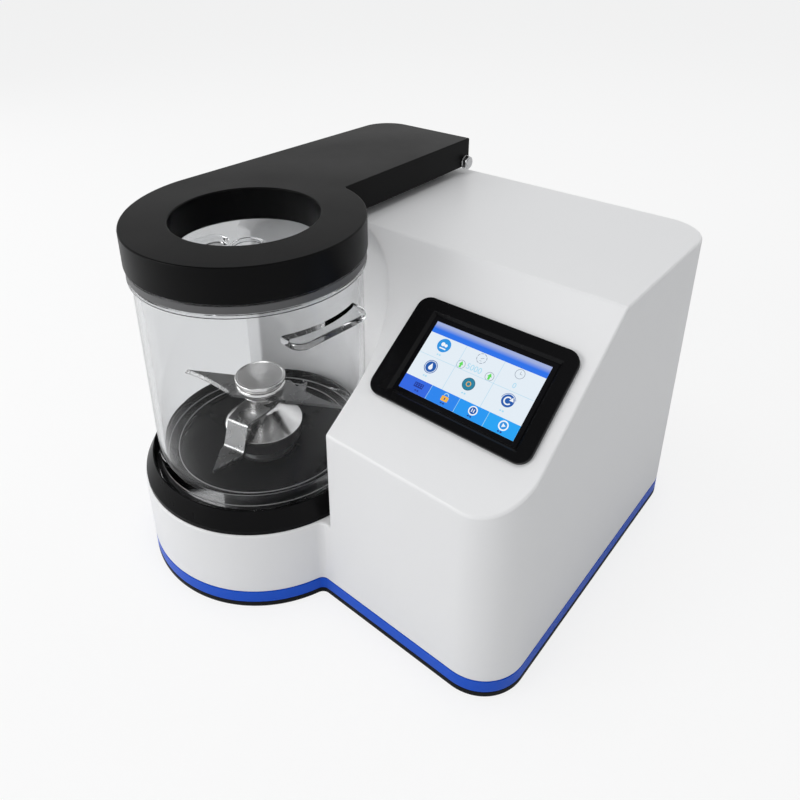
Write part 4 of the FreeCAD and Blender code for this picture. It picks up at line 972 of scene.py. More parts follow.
@dataclass
class Jar:
    """The clear jar and its clear lid, with the lid's rim band and two grey rings that paint highlights on
    the jar's foot edges.
    """

    radius: float = 102.4
    wall: float = 5.2
    floor_edge: float = 84.4
    floor_rise: float = 10.0
    floor_step: float = 1.2
    foot_radius: float = 105.6
    foot_high: float = 9.0
    under: float = 2.4
    seat: float = 89.0
    tab_reach: float = 108.3
    tab_half: float = 11.0
    tab_high: float = 93.5
    floor: float = 105.4
    ring_reach: float = 98.5
    ring_low: float = 102.4
    ring_width: float = 0.9
    top: float = 301.5
    neck: float = 31.0
    neck_bore: float = 24.0
    neck_top: float = 109.4
    ledge_reach: float = 117.0
    ledge_half: float = 39.5
    ledge_low: float = 268.0
    ledge_high: float = 276.0
    ledge_turn: float = -5.0
    ledge_corner: float = 12.0
    ledge_ease: float = 2.6
    lid_top: float = 310.2
    lid_radius: float = 106.0
    lid_low: float = 297.5
    lid_face: float = 307.2
    lid_stop: float = 305.9
    lid_thick: float = 4.0
    lid_dish: float = 83.2
    lid_groove: float = 0.7
    boss: float = 17.0
    boss_top: float = 313.2
    boss_wall: float = 4.0
    boss_deep: float = 3.0

    def body(self) -> Mesh:
        """Turns the jar's wall, floor and foot.

        Returns:
            The jar without its ledges and tabs.
        """
        inner = self.radius - self.wall
        under = self.seat + self.under
        foot_top = self.seat + self.foot_high
        sunk = self.floor - self.floor_step
        outline = softened([
            (self.neck_bore, under, 0.4), (self.radius - 14, under, 1), (self.radius - 10, self.seat, 1),
            (self.foot_radius, self.seat, 1.2), (self.foot_radius, foot_top, 1.2),
            (self.radius, foot_top + 0.6, 0.4), (self.radius, self.top, 1.4), (inner, self.top, 1.4),
            (inner, self.floor + self.floor_rise, 3.0), (self.floor_edge, self.floor, 1.2),
            (self.floor_edge - 3, self.floor, 0.5), (self.floor_edge - 3 - self.floor_step, sunk, 0.5),
            (self.neck, sunk, 0.8), (self.neck, self.neck_top, 1.2), (self.neck_bore, self.neck_top, 1.2)])
        return turned(outline, ring=True, steps=192)

    def ledges(self) -> Mesh:
        """Models the two ledges that the jar is lifted by.

        Returns:
            Both ledges in one shape.
        """
        reach, half, corner = self.ledge_reach, self.ledge_half, self.ledge_corner
        outline = softened([(reach, half, corner), (-reach, half, corner), (-reach, -half, corner),
                            (reach, -half, corner)], steps=8)
        pair = prism(outline, self.ledge_low, self.ledge_high)
        eased(pair, self.ledge_ease, 4)
        combined(pair, [rod(0, 0, self.ledge_low - 5, self.radius - self.wall / 2, 20)])
        return stood(pair, (0, 0, self.ledge_turn))

    def tab(self) -> Mesh:
        """Models one bayonet tab at the jar's foot.

        Returns:
            The tab, at its unturned place.
        """
        inner = self.radius - 6
        block = brick(inner, -self.tab_half, self.seat, self.tab_reach - inner, 2 * self.tab_half,
                      self.tab_high - self.seat)
        return eased(block, 0.8, 2)

    def lid(self) -> Mesh:
        """Turns the clear lid with its rim, its flat face and the filling boss.

        Returns:
            The lid.
        """
        inner, reach = self.radius + 0.4, self.lid_radius
        low, face, top = self.lid_low, self.lid_face, self.lid_top
        groove = reach - self.lid_groove
        hollow = self.boss - self.boss_wall
        outline = softened([
            (0, face - self.lid_thick), (inner - 2.2, face - self.lid_thick), (inner - 2.2, self.lid_stop),
            (inner, self.lid_stop, 0.5), (inner, low, 0.6), (reach, low, 1.0), (reach, low + 3.2, 0.6),
            (groove, low + 3.9, 0.4), (groove, top - 1.4, 0.3), (reach, top - 0.7, 0.3), (reach, top, 0.3),
            (self.lid_dish + 2, top, 0.4), (self.lid_dish, face, 1.0), (self.boss, face, 1.5),
            (self.boss - 1, self.boss_top, 0.8), (hollow, self.boss_top, 0.8),
            (hollow, self.boss_top - self.boss_deep, 0.8), (0, self.boss_top - self.boss_deep)], closed=False)
        return turned(outline, steps=192)

    def rim_band(self) -> None:
        """Models the grey band round the lid's rim, under the arm."""
        reach = self.lid_radius
        section = softened([(reach - 0.6, self.lid_low + 4.4), (reach - 0.1, self.lid_low + 4.4, 0.2),
                            (reach - 0.1, self.lid_top - 1.6, 0.2), (reach - 0.6, self.lid_top - 1.6)])
        band = turned(section, ring=True, steps=192)
        install(smoothed(painted(band, RIM_GREY)), "lid_rim_band", "jar")

    def highlight_rings(self) -> None:
        """Models two thin grey rings at the jar's foot, one on the floor and one in the wall, which paint the
        highlights of the clear moulding's edges.
        """
        width = self.ring_width
        for name, reach, low in (("jar_floor_ring", self.floor_edge + 1.0, self.floor + 0.1),
                                 ("jar_foot_ring", self.ring_reach, self.ring_low)):
            section = softened([(reach - width, low, 0.2), (reach, low, 0.2), (reach, low + width, 0.2),
                                (reach - width, low + width, 0.2)], steps=2)
            # Each ring is opaque grey: a painted highlight where the clear moulding's edge catches light.
            ring = turned(section, ring=True, steps=192)
            install(smoothed(painted(ring, PAINTED_EDGE_HIGHLIGHT)), name, "jar")

    def build(self) -> None:
        """Models the jar and its lid."""
        jar = combined(self.body(), [self.ledges()] + repeated(self.tab(), TAB_TURNS), "UNION")
        smoothed(painted(jar, CLEAR_WALL))
        install(jar, "clear_jar", "jar", ["grinding_jar"])
        lid = smoothed(painted(self.lid(), CLEAR))
        install(lid, "clear_lid", "jar", ["jar_lid"])
        self.rim_band()
        self.highlight_rings()
        for clear in (jar, lid):
            clear.visible_shadow = False


@dataclass
class LidArm:
    """The black arm that holds the lid down, with its hinge hardware."""

    ring: float = 107.0
    hole: float = 66.2
    pad_inner: float = 72.0
    pad_outer: float = 82.2
    pad_low: float = 307.5
    low: float = 310.5
    high: float = 342.4
    right: float = 22.7
    left: float = 118.6
    left_rear: float = 105.0
    rear: float = 314.7
    lean: float = 20.0
    corner: float = 35.0
    ease: float = 1.4
    recess_left: float = -70.3
    recess_width: float = 58.6
    recess_front: float = 12.0
    recess_depth: float = 40.0
    recess_height: float = 22.5
    hinge_y: float = 306.0
    hinge_z: float = 316.0
    nut_corner: float = 8.0
    nut_high: float = 5.9
    nut_bore: float = 5.05
    washer: float = 1.4

    def outline(self) -> list[Point]:
        """Draws the arm from above: round over the jar, bulging to the left, then straight to the hinge.

        Returns:
            The outline.
        """
        tilt = math.sin(math.radians(self.lean))
        bulge = (self.left - self.ring * tilt) / (1 - tilt)
        centre_x = (bulge - self.ring) * tilt
        centre_y = (bulge - self.ring) * math.cos(math.radians(self.lean))
        shoulder = math.sqrt(self.ring ** 2 - self.right ** 2)
        start = math.degrees(math.atan2(shoulder, self.right))
        rear = softened([(self.right, shoulder), (self.right, self.rear),
                         (-self.left_rear, self.rear, self.corner), (-self.left, centre_y)],
                        closed=False, steps=14)
        return (arc(0, 0, self.ring, -90 - self.lean, start, 96)[:-1] + rear[:-1]
                + arc(centre_x, centre_y, bulge, 180, 270 - self.lean, 36)[:-1])

    def build(self) -> None:
        """Models the arm, its pad, and the hinge's nut and washer."""
        arm = prism(self.outline(), self.low, self.high)
        recess = brick(self.recess_left, self.hinge_y - self.recess_front, self.low - 5,
                       self.recess_width, self.recess_depth, self.recess_height)
        combined(arm, [prism(arc(0, 0, self.hole, 0, 360, 160)[:-1], self.low - 5, self.high + 5), recess])
        eased(arm, self.ease, 4)
        smoothed(painted(arm, ARM_BLACK))
        install(arm, "ring_arm", "lid", ["lid_arm"])
        pad = turned(softened([(self.pad_inner, self.low), (self.pad_inner, self.pad_low, 0.8),
                               (self.pad_outer, self.pad_low, 0.8), (self.pad_outer, self.low)]), ring=True)
        install(smoothed(painted(pad, RUBBER)), "arm_pad", "lid", ["pressure_pad"])
        self.build_nut()

    def build_nut(self) -> None:
        """Models the chamfered nut and its washer at the hinge's right end."""
        start = self.right + 0.3
        corner, high, thick = self.nut_corner, self.nut_high, self.washer
        nut = prism(arc(0, 0, corner, 0, 360, 6)[:-1], thick, high)
        round_over = turned([(0, 1.0), (corner - 0.4, 1.0), (corner - 0.05, 1.8), (corner - 0.05, high - 0.9),
                             (corner - 1.1, high), (0, high)], steps=64)
        combined(nut, [round_over], "INTERSECT")
        washer = turned(softened([(self.nut_bore + 0.05, 0), (corner - 0.1, 0, 0.3),
                                  (corner - 0.1, thick, 0.3), (self.nut_bore + 0.05, thick)]),
                        ring=True, steps=64)
        bored = combined(nut, [rod(0, 0, -1, self.nut_bore, 10)])
        both = merged([bored, washer])
        stood(both, (0, 90, 0), (start, self.hinge_y, self.hinge_z))
        smoothed(painted(both, HINGE_STEEL))
        install(both, "hinge_nut_and_washer", "lid", ["hinge_nut"])


@dataclass
class Knife:
    """The knife: cap, bell, two crossed blades, spacer and knob."""

    shaft: float = 8.55
    cap_low: float = 106.0
    cap_top: float = 120.0
    cap_roof: float = 113.4
    cap_radius: float = 36.0
    cap_bore: float = 32.5
    skirt: float = 38.0
    neck: float = 15.5
    lower_blade: float = 142.0
    upper_blade: float = 157.0
    thickness: float = 3.0
    reach: float = 88.0
    root_half: float = 15.0
    root_hollow: float = 20.0
    drop_reach: float = 79.0
    drop_bend: float = 36.0
    drop_foot: float = 46.0
    drop_low: float = 115.0
    drop_half: float = 12.0
    turn: float = 20.0
    drop_turn: float = 11.0
    bevel: float = 2.2
    knob_radius: float = 24.5
    knob_foot: float = 24.0
    knob_groove: float = 20.4
    knob_low: float = 160.3
    knob_top: float = 175.0
    knob_dish: float = 0.35

    def round_pieces(self) -> None:
        """Turns the cap, the bell, the spacer and the knob."""
        shaft = self.shaft
        cap = [(self.cap_bore, self.cap_low), (self.cap_radius, self.cap_low, 1.0),
               (self.cap_radius, self.cap_top, 0.6), (shaft, self.cap_top), (shaft, self.cap_roof),
               (self.cap_bore, self.cap_roof, 1.0)]
        bell = [(shaft, self.cap_top), (self.skirt, self.cap_top, 0.4), (self.skirt, self.cap_top + 2.4, 0.7),
                (self.neck + 1.2, self.lower_blade - 3, 6.0), (self.neck, self.lower_blade, 0.4),
                (shaft, self.lower_blade)]
        low = self.lower_blade + self.thickness
        high = self.upper_blade
        spacer = [(shaft, low), (self.neck, low, 0.5), (self.neck, high - 6, 4.0), (self.neck + 4, high, 0.4),
                  (shaft, high)]
        seat = high + self.thickness
        foot, groove, reach = self.knob_foot, self.knob_groove, self.knob_radius
        top, dish = self.knob_top, self.knob_top - self.knob_dish
        knob = [(0, self.knob_low), (shaft, self.knob_low), (shaft, seat), (self.neck + 3, seat, 0.5),
                (foot, seat + 3.6, 2.6), (foot - 0.6, seat + 7.8, 2.0), (groove, seat + 8.4, 0.8),
                (groove, seat + 10.4, 0.8), (reach, seat + 11.0, 0.7), (reach, top, 1.0),
                (reach - 2.2, top, 0.2), (reach - 2.8, dish, 0.2), (0, dish)]
        rows = ((cap, True, DARK_CAP, "spindle_cap", "cap_dark", "drive_cap"),
                (bell, True, MIRROR_STEEL, "polished_bell", "polished_steel", "knife_bell"),
                (spacer, True, MIRROR_STEEL, "blade_spacer_ring", "polished_steel", "blade_spacer"),
                (knob, False, MIRROR_STEEL, "clamping_knob", "polished_steel", "knife_knob"))
        for outline, ring, finish, name, slot, node in rows:
            piece = turned(softened(outline, closed=ring, steps=6), ring=ring)
            smoothed(painted(piece, finish))
            install(piece, name, "knife", [node])

    def arm_side(self, reach: float, tip: float) -> list[Point]:
        """Draws one pointed arm of a blade: a straight back edge and a hollow front edge.

        Args:
            reach: How far the arm reaches from the axis.
            tip: How wide it is in front at its tip.

        Returns:
            The outline of that arm alone.
        """
        root = self.root_half + 7
        wide = self.root_hollow
        hollow = [(reach - (reach - root) * step / 10, tip + (wide - tip) * (step / 10) ** 1.6)
                  for step in range(11)]
        return [(root, -self.root_half * 0.8), (reach, -0.5 * tip)] + hollow

    def sharpened(self, blade: Mesh, top: float) -> Mesh:
        """Grinds a bevel along the leading edges of a blade's arms.

        Args:
            blade: The blade.
            top: The height of its upper face.

        Returns:
            The blade.
        """
        with editing(blade):
            choose_edges(blade, lambda edge: self.leads(edge, top))
            bpy.ops.mesh.bevel(offset=self.bevel * MM, segments=1, affect="EDGES")
        return blade

    def leads(self, edge: bmesh.types.BMEdge, top: float) -> bool:
        """Says whether an edge lies on the top face along the hollow side of an arm.

        Args:
            edge: The edge.
            top: The height of the blade's upper face.

        Returns:
            True where it does.
        """
        if any(abs(vertex.co.z - top * MM) > WELD for vertex in edge.verts):
            return False
        middle = (edge.verts[0].co + edge.verts[1].co) / 2
        side = middle.y if middle.x > 0 else -middle.y
        return abs(middle.x) > (self.root_half + 12) * MM and side > 0

    def blades(self) -> None:
        """Models the flat upper blade and the lower blade, whose arms drop to sweep the floor."""
        arm = self.arm_side(self.reach, 1.5)
        outline = arm + [(-x, -y) for x, y in arm]
        upper = prism(outline, self.upper_blade, self.upper_blade + self.thickness)
        combined(upper, [rod(0, 0, self.upper_blade - 5, self.shaft, 20)])
        self.sharpened(upper, self.upper_blade + self.thickness)
        smoothed(painted(stood(upper, (0, 0, self.turn)), GROUND_STEEL))
        install(upper, "flat_blade", "knife", ["upper_blade"])
        high, low, thick = self.lower_blade, self.drop_low, self.thickness
        reach, foot, bend, half = self.drop_reach, self.drop_foot, self.drop_bend, self.drop_half
        right = [(foot - 1, low, 2.0), (reach, low), (reach, low + thick),
                 (foot + thick / 2, low + thick, 4.5), (bend + thick / 2, high + thick, 5.0)]
        left = [(-x, y, *radius) for x, y, *radius in reversed(right)]
        section = softened(right + left + [(-bend, high, 2.2), (bend, high, 2.2)], steps=5)
        lower = prism(section, -self.root_half, self.root_half)
        stood(lower, (90, 0, 0))
        stood(lower, (0, 0, 90))
        point = [(half, bend), (half, foot + 6), (-2.0, reach), (-half, foot + 4), (-half, bend)]
        hub = [(-self.root_half, self.root_half), (-self.root_half, -self.root_half)]
        plan = point + hub + [(-x, -y) for x, y in point] + [(-x, -y) for x, y in hub]
        combined(lower, [prism(plan, 90, 160)], "INTERSECT")
        combined(lower, [rod(0, 0, high - 5, self.shaft, 20)])
        eased(lower, 0.35, 2, 50)
        smoothed(painted(stood(lower, (0, 0, self.drop_turn)), GROUND_STEEL))
        install(lower, "dropped_blade", "knife", ["lower_blade"])

    def build(self) -> None:
        """Models the whole knife."""
        self.round_pieces()
        self.blades()


class Glyph(Enum):
    """Where each sign of the lit screen stands, across and up in shares of the lit area."""

    VESSEL = (0.160, 0.725)
    DIAL = (0.49, 0.760)
    CLOCK = (0.812, 0.765)
    DROP = (0.155, 0.400)
    TARGET = (0.50, 0.395)
    RETURN = (0.828, 0.405)
    KEYS = (0.150, 0.115)
    LOCK = (0.392, 0.120)
    PAUSE = (0.634, 0.120)
    PLAY = (0.887, 0.115)


@dataclass
class Display:
    """The touch display in its black frame, with plain signs on the lit area."""

    left: float = 136.2
    width: float = 151.5
    low: float = 49.0
    height: float = 97.4
    corner: float = 11.5
    proud: float = 4.2
    glass: float = 1.4
    lit_left: float = 161.3
    lit_width: float = 108.0
    lit_low: float = 63.6
    lit_height: float = 64.8
    window_margin: float = 4.2
    window_slope: float = 3.2
    sheet: float = 0.05
    top_share: float = 0.16
    foot_share: float = 0.195
    fade: float = 4.9

    def layer(self, level: int) -> float:
        """Height above the slope of one of the thin layers on the glass."""
        return self.glass + self.sheet * (level + 1)

    def spot(self, glyph: Glyph) -> Point:
        """The centre of a sign on the slope."""
        across, up = glyph.value
        return self.lit_left + self.lit_width * across, self.lit_low + self.lit_height * up

    def shape(self, outline: Sequence[Point], level: int, finish: Finish) -> Mesh:
        """A thin flat shape on the screen."""
        base = self.layer(level)
        return painted(prism(outline, base, base + self.sheet), finish)

    def disc(self, x: float, y: float, radius: float, level: int, finish: Finish) -> Mesh:
        """A thin round shape on the screen."""
        return self.shape(arc(x, y, radius, 0, 360, 40)[:-1], level, finish)

    def bow(self, x: float, y: float, inner: float, outer: float, start: float, end: float, level: int,
            finish: Finish) -> Mesh:
        """Draws a part of a ring on the screen.

        Args:
            x: Its centre across the slope.
            y: Its centre up the slope.
            inner: Its inner radius.
            outer: Its outer radius.
            start: The angle that it starts at, in degrees.
            end: The angle that it ends at, in degrees.
            level: The layer that it lies in.
            finish: Its finish.

        Returns:
            The shape.
        """
        steps = max(4, round(abs(end - start) / 12))
        outline = arc(x, y, outer, start, end, steps) + arc(x, y, inner, end, start, steps)
        return self.shape(outline, level, finish)

    def hoop(self, x: float, y: float, inner: float, outer: float, level: int, finish: Finish) -> list[Mesh]:
        """A full ring on the screen, as two halves."""
        return [self.bow(x, y, inner, outer, start, start + 180, level, finish) for start in (0, 180)]

    def bar(self, x: float, y: float, width: float, height: float, level: int, finish: Finish,
            turn: float = 0.0) -> Mesh:
        """Draws a thin bar on the screen.

        Args:
            x: Its middle across the slope.
            y: Its middle up the slope.
            width: Its width.
            height: Its height.
            level: The layer that it lies in.
            finish: Its finish.
            turn: How far it is turned, in degrees.

        Returns:
            The bar.
        """
        swing = Matrix.Rotation(math.radians(turn), 2)
        corners = [(-width / 2, -height / 2), (width / 2, -height / 2), (width / 2, height / 2),
                   (-width / 2, height / 2)]
        placed = [swing @ Vector(corner) + Vector((x, y)) for corner in corners]
        return self.shape([(corner.x, corner.y) for corner in placed], level, finish)

    def figures(self, text: str, x: float, y: float, height: float, level: int, finish: Finish) -> Mesh:
        """Sets plain figures on the screen, made into a mesh.

        Args:
            text: The figures.
            x: Their middle across the slope.
            y: Their middle up the slope.
            height: The size of the type.
            level: The layer that they lie in.
            finish: Their finish.

        Returns:
            The figures as one shape.
        """
        bpy.ops.object.select_all(action="DESELECT")
        bpy.ops.object.text_add()
        obj = bpy.context.object
        obj.data.body = text
        obj.data.size = height * MM
        obj.data.align_x = "CENTER"
        obj.data.align_y = "CENTER"
        obj.data.extrude = self.sheet * MM / 2
        bpy.ops.object.convert(target="MESH")
        figures = closed(bpy.context.object)
        return stood(painted(figures, finish), (0, 0, 0), (x, y, self.layer(level) + self.sheet / 2))

    def label(self, x: float, y: float, level: int, finish: Finish) -> list[Mesh]:
        """A small blank label of two short strokes below a sign."""
        return [self.bar(x - 1.1, y, 1.5, 1.1, level, finish, 12),
                self.bar(x + 1.1, y, 1.5, 1.3, level, finish)]

    def put(self, name: str, shapes: Sequence[Mesh]) -> None:
        """Joins the shapes of one sign, lays them on the slope and installs them."""
        install(Slope().lay(merged(list(shapes))), name, "base")

    @staticmethod
    def box(low: Point, high: Point, inset: float = 0.0) -> list[Point]:
        """The corners of a rectangle between two of its corners, drawn in by an inset."""
        left, right, foot, top = low[0] + inset, high[0] - inset, low[1] + inset, high[1] - inset
        return [(left, foot), (right, foot), (right, top), (left, top)]

    def frame(self) -> None:
        """Models the black frame with its sloped window and the dark glass."""
        left, low = self.left, self.low
        right, high = left + self.width, low + self.height
        corner = self.corner
        block = prism(softened([(left, low, corner), (right, low, corner), (right, high, corner),
                                (left, high, corner)], steps=10), 0, self.proud)
        eased(block, 0.8, 4, 60)
        margin = self.window_margin
        first = (self.lit_left - margin, self.lit_low - margin)
        last = (self.lit_left + self.lit_width + margin, self.lit_low + self.lit_height + margin)
        window = prism(self.box(first, last), 0.9, self.proud + 0.4)
        middle = Vector(((first[0] + last[0]) / 2, (first[1] + last[1]) / 2, 0)) * MM
        growth = [1 + 2 * self.window_slope / (last[axis] - first[axis]) for axis in (0, 1)]
        with editing(window):
            choose_faces(window, lambda face: face.normal.z > 0.9)
            bpy.ops.transform.resize(value=(growth[0], growth[1], 1), center_override=middle)
        combined(block, [window, prism(self.box(first, last), -1, 1.5)])
        smoothed(painted(block, PIANO_BLACK))
        install(Slope().lay(block), "screen_frame", "base", ["display_bezel"])
        glass = prism(self.box(first, last, 0.1), 0, self.glass)
        eased(glass, 0.15, 2)
        smoothed(painted(glass, SCREEN_BLACK))
        install(Slope().lay(glass), "screen_glass", "base", ["display_glass"])

    def ground(self) -> None:
        """Lights the screen: pale ground, top bar, bottom bars and cell lines."""
        left, low, width, height = self.lit_left, self.lit_low, self.lit_width, self.lit_height
        middle = left + width / 2
        self.put("screen_ground", [self.bar(middle, low + height / 2, width, height, 0, LIT_GROUND)])
        top, foot = height * self.top_share, height * self.foot_share
        self.put("screen_top_bar", [self.bar(middle, low + height - top / 2, width, top, 1, LIT_TOP)])
        quarter = width / 4
        bars = [self.bar(left + quarter * (index + 0.5), low + foot / 2, quarter, foot, 1, finish)
                for index, finish in enumerate(LIT_BARS)]
        self.put("screen_bottom_bars", bars)
        lines = [self.bar(left + width * share, low + height * 0.518, 0.4, height * 0.645, 1, LIT_LINE)
                 for share in (1 / 3, 2 / 3)]
        lines.append(self.bar(middle, low + height * 0.53, width, 0.4, 1, LIT_LINE))
        lines += [self.bar(left + quarter * index, low + foot / 2, 0.35, foot, 2, LIT_PALE)
                  for index in (1, 2, 3)]
        self.put("screen_lines", lines)

    def upper_signs(self) -> None:
        """Draws the signs of the upper row of cells."""
        x, y = self.spot(Glyph.VESSEL)
        self.put("sign_vessel", [
            self.disc(x, y, 6.2, 1, LIT_SKY), self.disc(x - 1.2, y + 0.8, 1.8, 2, LIT_WHITE),
            self.disc(x + 1.8, y + 0.4, 1.4, 2, LIT_WHITE), self.bar(x, y - 2.9, 6.0, 1.1, 2, LIT_WHITE)]
            + self.label(x, y - 9.0, 1, LIT_PALE))
        x, y = self.spot(Glyph.DIAL)
        dashes = [self.bow(x, y, 4.0, 4.6, start, start + 34, 1, LIT_GREY) for start in range(0, 360, 45)]
        self.put("sign_dial", dashes + [self.bar(x + 0.6, y + 0.2, 3.0, 0.5, 1, LIT_GREY, 28),
                                        self.bar(x, y - 2.2, 1.8, 0.4, 1, LIT_GREY)])
        self.put("sign_speed", [self.figures("5000", x - 1.5, y - 10.4, 7.2, 1, LIT_PALE)])
        for name, side in (("sign_slower", -1), ("sign_faster", 1)):
            centre = x + side * 13.5
            ring = self.hoop(centre, y - 11.2, 3.4, 3.9, 1, LIT_GREY)
            arrow = self.shape([(centre - 2.0, y - 11.4), (centre, y - 8.2), (centre + 2.0, y - 11.4),
                                (centre + 0.9, y - 11.4), (centre + 0.9, y - 14.0), (centre - 0.9, y - 14.0),
                                (centre - 0.9, y - 11.4)], 1, LIT_GREEN)
            self.put(name, ring + [arrow])
        x, y = self.spot(Glyph.CLOCK)
        self.put("sign_clock", self.hoop(x, y, 3.7, 4.2, 1, LIT_GREY)
                 + [self.bar(x, y + 1.1, 0.45, 2.4, 1, LIT_GREY),
                    self.bar(x + 0.9, y, 2.0, 0.45, 1, LIT_GREY)])
        self.put("sign_time", [self.figures("0", x + 0.4, y - 10.4, 6.2, 1, LIT_PALE)])

    def lower_signs(self) -> None:
        """Draws the signs of the lower row of cells."""
        x, y = self.spot(Glyph.DROP)
        drop = [(x, y + 3.4)] + arc(x, y - 0.8, 1.9, 150, 390, 14)
        self.put("sign_drop", self.hoop(x, y, 5.4, 6.0, 1, LIT_DEEP)
                 + [self.disc(x, y, 4.8, 1, LIT_DEEP), self.shape(drop, 2, LIT_WHITE)]
                 + self.label(x - 0.6, y - 8.8, 1, LIT_PALE))
        x, y = self.spot(Glyph.TARGET)
        self.put("sign_target", [self.disc(x, y, 5.5, 1, LIT_DUSK), self.disc(x, y, 5.0, 2, LIT_TEAL)]
                 + self.hoop(x, y, 1.6, 2.2, 3, LIT_AMBER) + self.label(x, y - 8.4, 1, LIT_PALE))
        x, y = self.spot(Glyph.RETURN)
        head = [(x + 0.9, y + 0.6), (x + 4.6, y + 0.6), (x + 2.9, y + 4.0)]
        self.put("sign_return", [
            self.bow(x, y, 5.9, 6.3, 20, 170, 1, LIT_DEEP), self.disc(x, y, 5.3, 1, LIT_DEEP),
            self.bow(x, y, 2.4, 3.5, 60, 330, 2, LIT_WHITE), self.shape(head, 2, LIT_WHITE)]
            + self.label(x - 0.6, y - 9.0, 1, LIT_PALE))

    def bottom_signs(self) -> None:
        """Draws the signs of the bottom bar."""
        x, y = self.spot(Glyph.KEYS)
        keys = [self.bar(x - 3.0 + 2.0 * column, y + 0.9 - 1.5 * row, 1.2, 0.8, 3, LIT_BARS[0])
                for column in range(4) for row in range(2)]
        self.put("sign_keys", [self.bar(x, y, 8.6, 4.2, 2, LIT_NAVY)] + keys
                 + self.label(x + 0.4, y - 4.6, 2, LIT_NAVY))
        x, y = self.spot(Glyph.LOCK)
        lock_body = softened([(x - 3.2, y - 3.4, 0.8), (x + 3.2, y - 3.4, 0.8), (x + 3.2, y + 1.0, 0.8),
                              (x - 3.2, y + 1.0, 0.8)])
        self.put("sign_lock", [self.bow(x, y + 1.6, 1.5, 2.3, 0, 180, 2, LIT_PALE),
                               self.shape(lock_body, 3, LIT_AMBER),
                               self.bar(x, y - 1.2, 0.9, 2.0, 4, LIT_NAVY)]
                 + self.label(x - 0.2, y - 5.2, 2, LIT_NAVY))
        x, y = self.spot(Glyph.PAUSE)
        self.put("sign_pause", [self.disc(x, y, 3.9, 2, LIT_WHITE), self.disc(x, y, 2.9, 3, LIT_DEEP),
                                self.bar(x - 0.9, y, 0.7, 2.8, 4, LIT_WHITE),
                                self.bar(x + 0.9, y, 0.7, 2.8, 4, LIT_WHITE)]
                 + self.label(x - 0.6, y - 5.2, 2, LIT_NAVY))
        x, y = self.spot(Glyph.PLAY)
        wedge = [(x - 1.0, y - 1.7), (x + 1.9, y), (x - 1.0, y + 1.7)]
        self.put("sign_play", [self.disc(x, y, 4.1, 2, LIT_WHITE), self.disc(x, y, 3.0, 3, LIT_SKY),
                               self.shape(wedge, 4, LIT_WHITE)] + self.label(x - 0.6, y - 5.4, 2, LIT_NAVY))

    def build(self) -> None:
        """Models the frame, the glass and all that the screen shows."""
        self.frame()
        self.ground()
        self.upper_signs()
        self.lower_signs()
        self.bottom_signs()


@dataclass
class RearPanel:
    """The screws that hold the grille to the rear wall."""

    face: float = 324.0
    columns: tuple[float, float] = (162.5, 245.5)
    rows: tuple[float, float] = (154.5, 237.5)

    def build(self) -> None:
        """Models the grille's four screws."""
        head = [(0, 0), (3.0, 0, 0.2), (3.0, 0.9, 0.6), (0, 1.5)]
        screws = []
        for x in self.columns:
            for z in self.rows:
                screw = turned(softened(head, closed=False), steps=24)
                slot = brick(-0.4, -2.2, 0.8, 0.8, 4.4, 2)
                cross = brick(-2.2, -0.4, 0.8, 4.4, 0.8, 2)
                combined(screw, [slot, cross])
                screws.append(stood(screw, (-90, 0, 0), (x, self.face - 1.5, z)))
        group = merged(screws)
        smoothed(painted(group, ZINC))
        install(group, "grille_screws", "base")


NODE_FINISHES: dict[str, Finish] = {
    "rubber_feet": RUBBER, "tray_screws": ZINC, "hinge_bracket": HINGE_STEEL, "hinge_screws": ZINC,
    "bearing_tube": ALUMINIUM, "lower_bearing": BEARING, "upper_bearing": BEARING, "shaft_seal": RUBBER,
    "drive_belt": RUBBER, "motor_stator": ENAMEL, "motor_lower_bell": ALUMINIUM,
    "motor_upper_bell": ALUMINIUM, "motor_bracket": POWDER, "display_module": SHEET_METAL,
    "power_supply": SHEET_METAL, "board_pillars": ZINC,
    "control_board": BOARD_GREEN, "fan_frame": FAN_BLACK, "vent_grille": FAN_BLACK, "power_inlet": FAN_BLACK,
    "inlet_pins": ZINC, "fuse_holder": FAN_BLACK, "switch_frame": FAN_BLACK, "lid_switch": SWITCH_GREY,
    "hinge_pin": HINGE_STEEL, "jar_gasket": SEAL, "spindle": GROUND_STEEL,
    "spindle_pulley": ALUMINIUM, "motor_rotor": LAMINATED, "motor_pulley": ALUMINIUM, "fan_wheel": FAN_BLACK,
    "switch_rocker": FAN_BLACK, "switch_plunger": SWITCH_GREY}


class KeptNodes:
    """The frame's own nodes that stay as they are and only get a finish."""

    def build(self) -> None:
        """Gives each kept node its finish."""
        for node, finish in NODE_FINISHES.items():
            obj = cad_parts[node]
            for slot in obj.material_slots:
                slot.link = "OBJECT"
                slot.material = finish.material()
            log.info("node %s is finished in %s", node, finish.name)


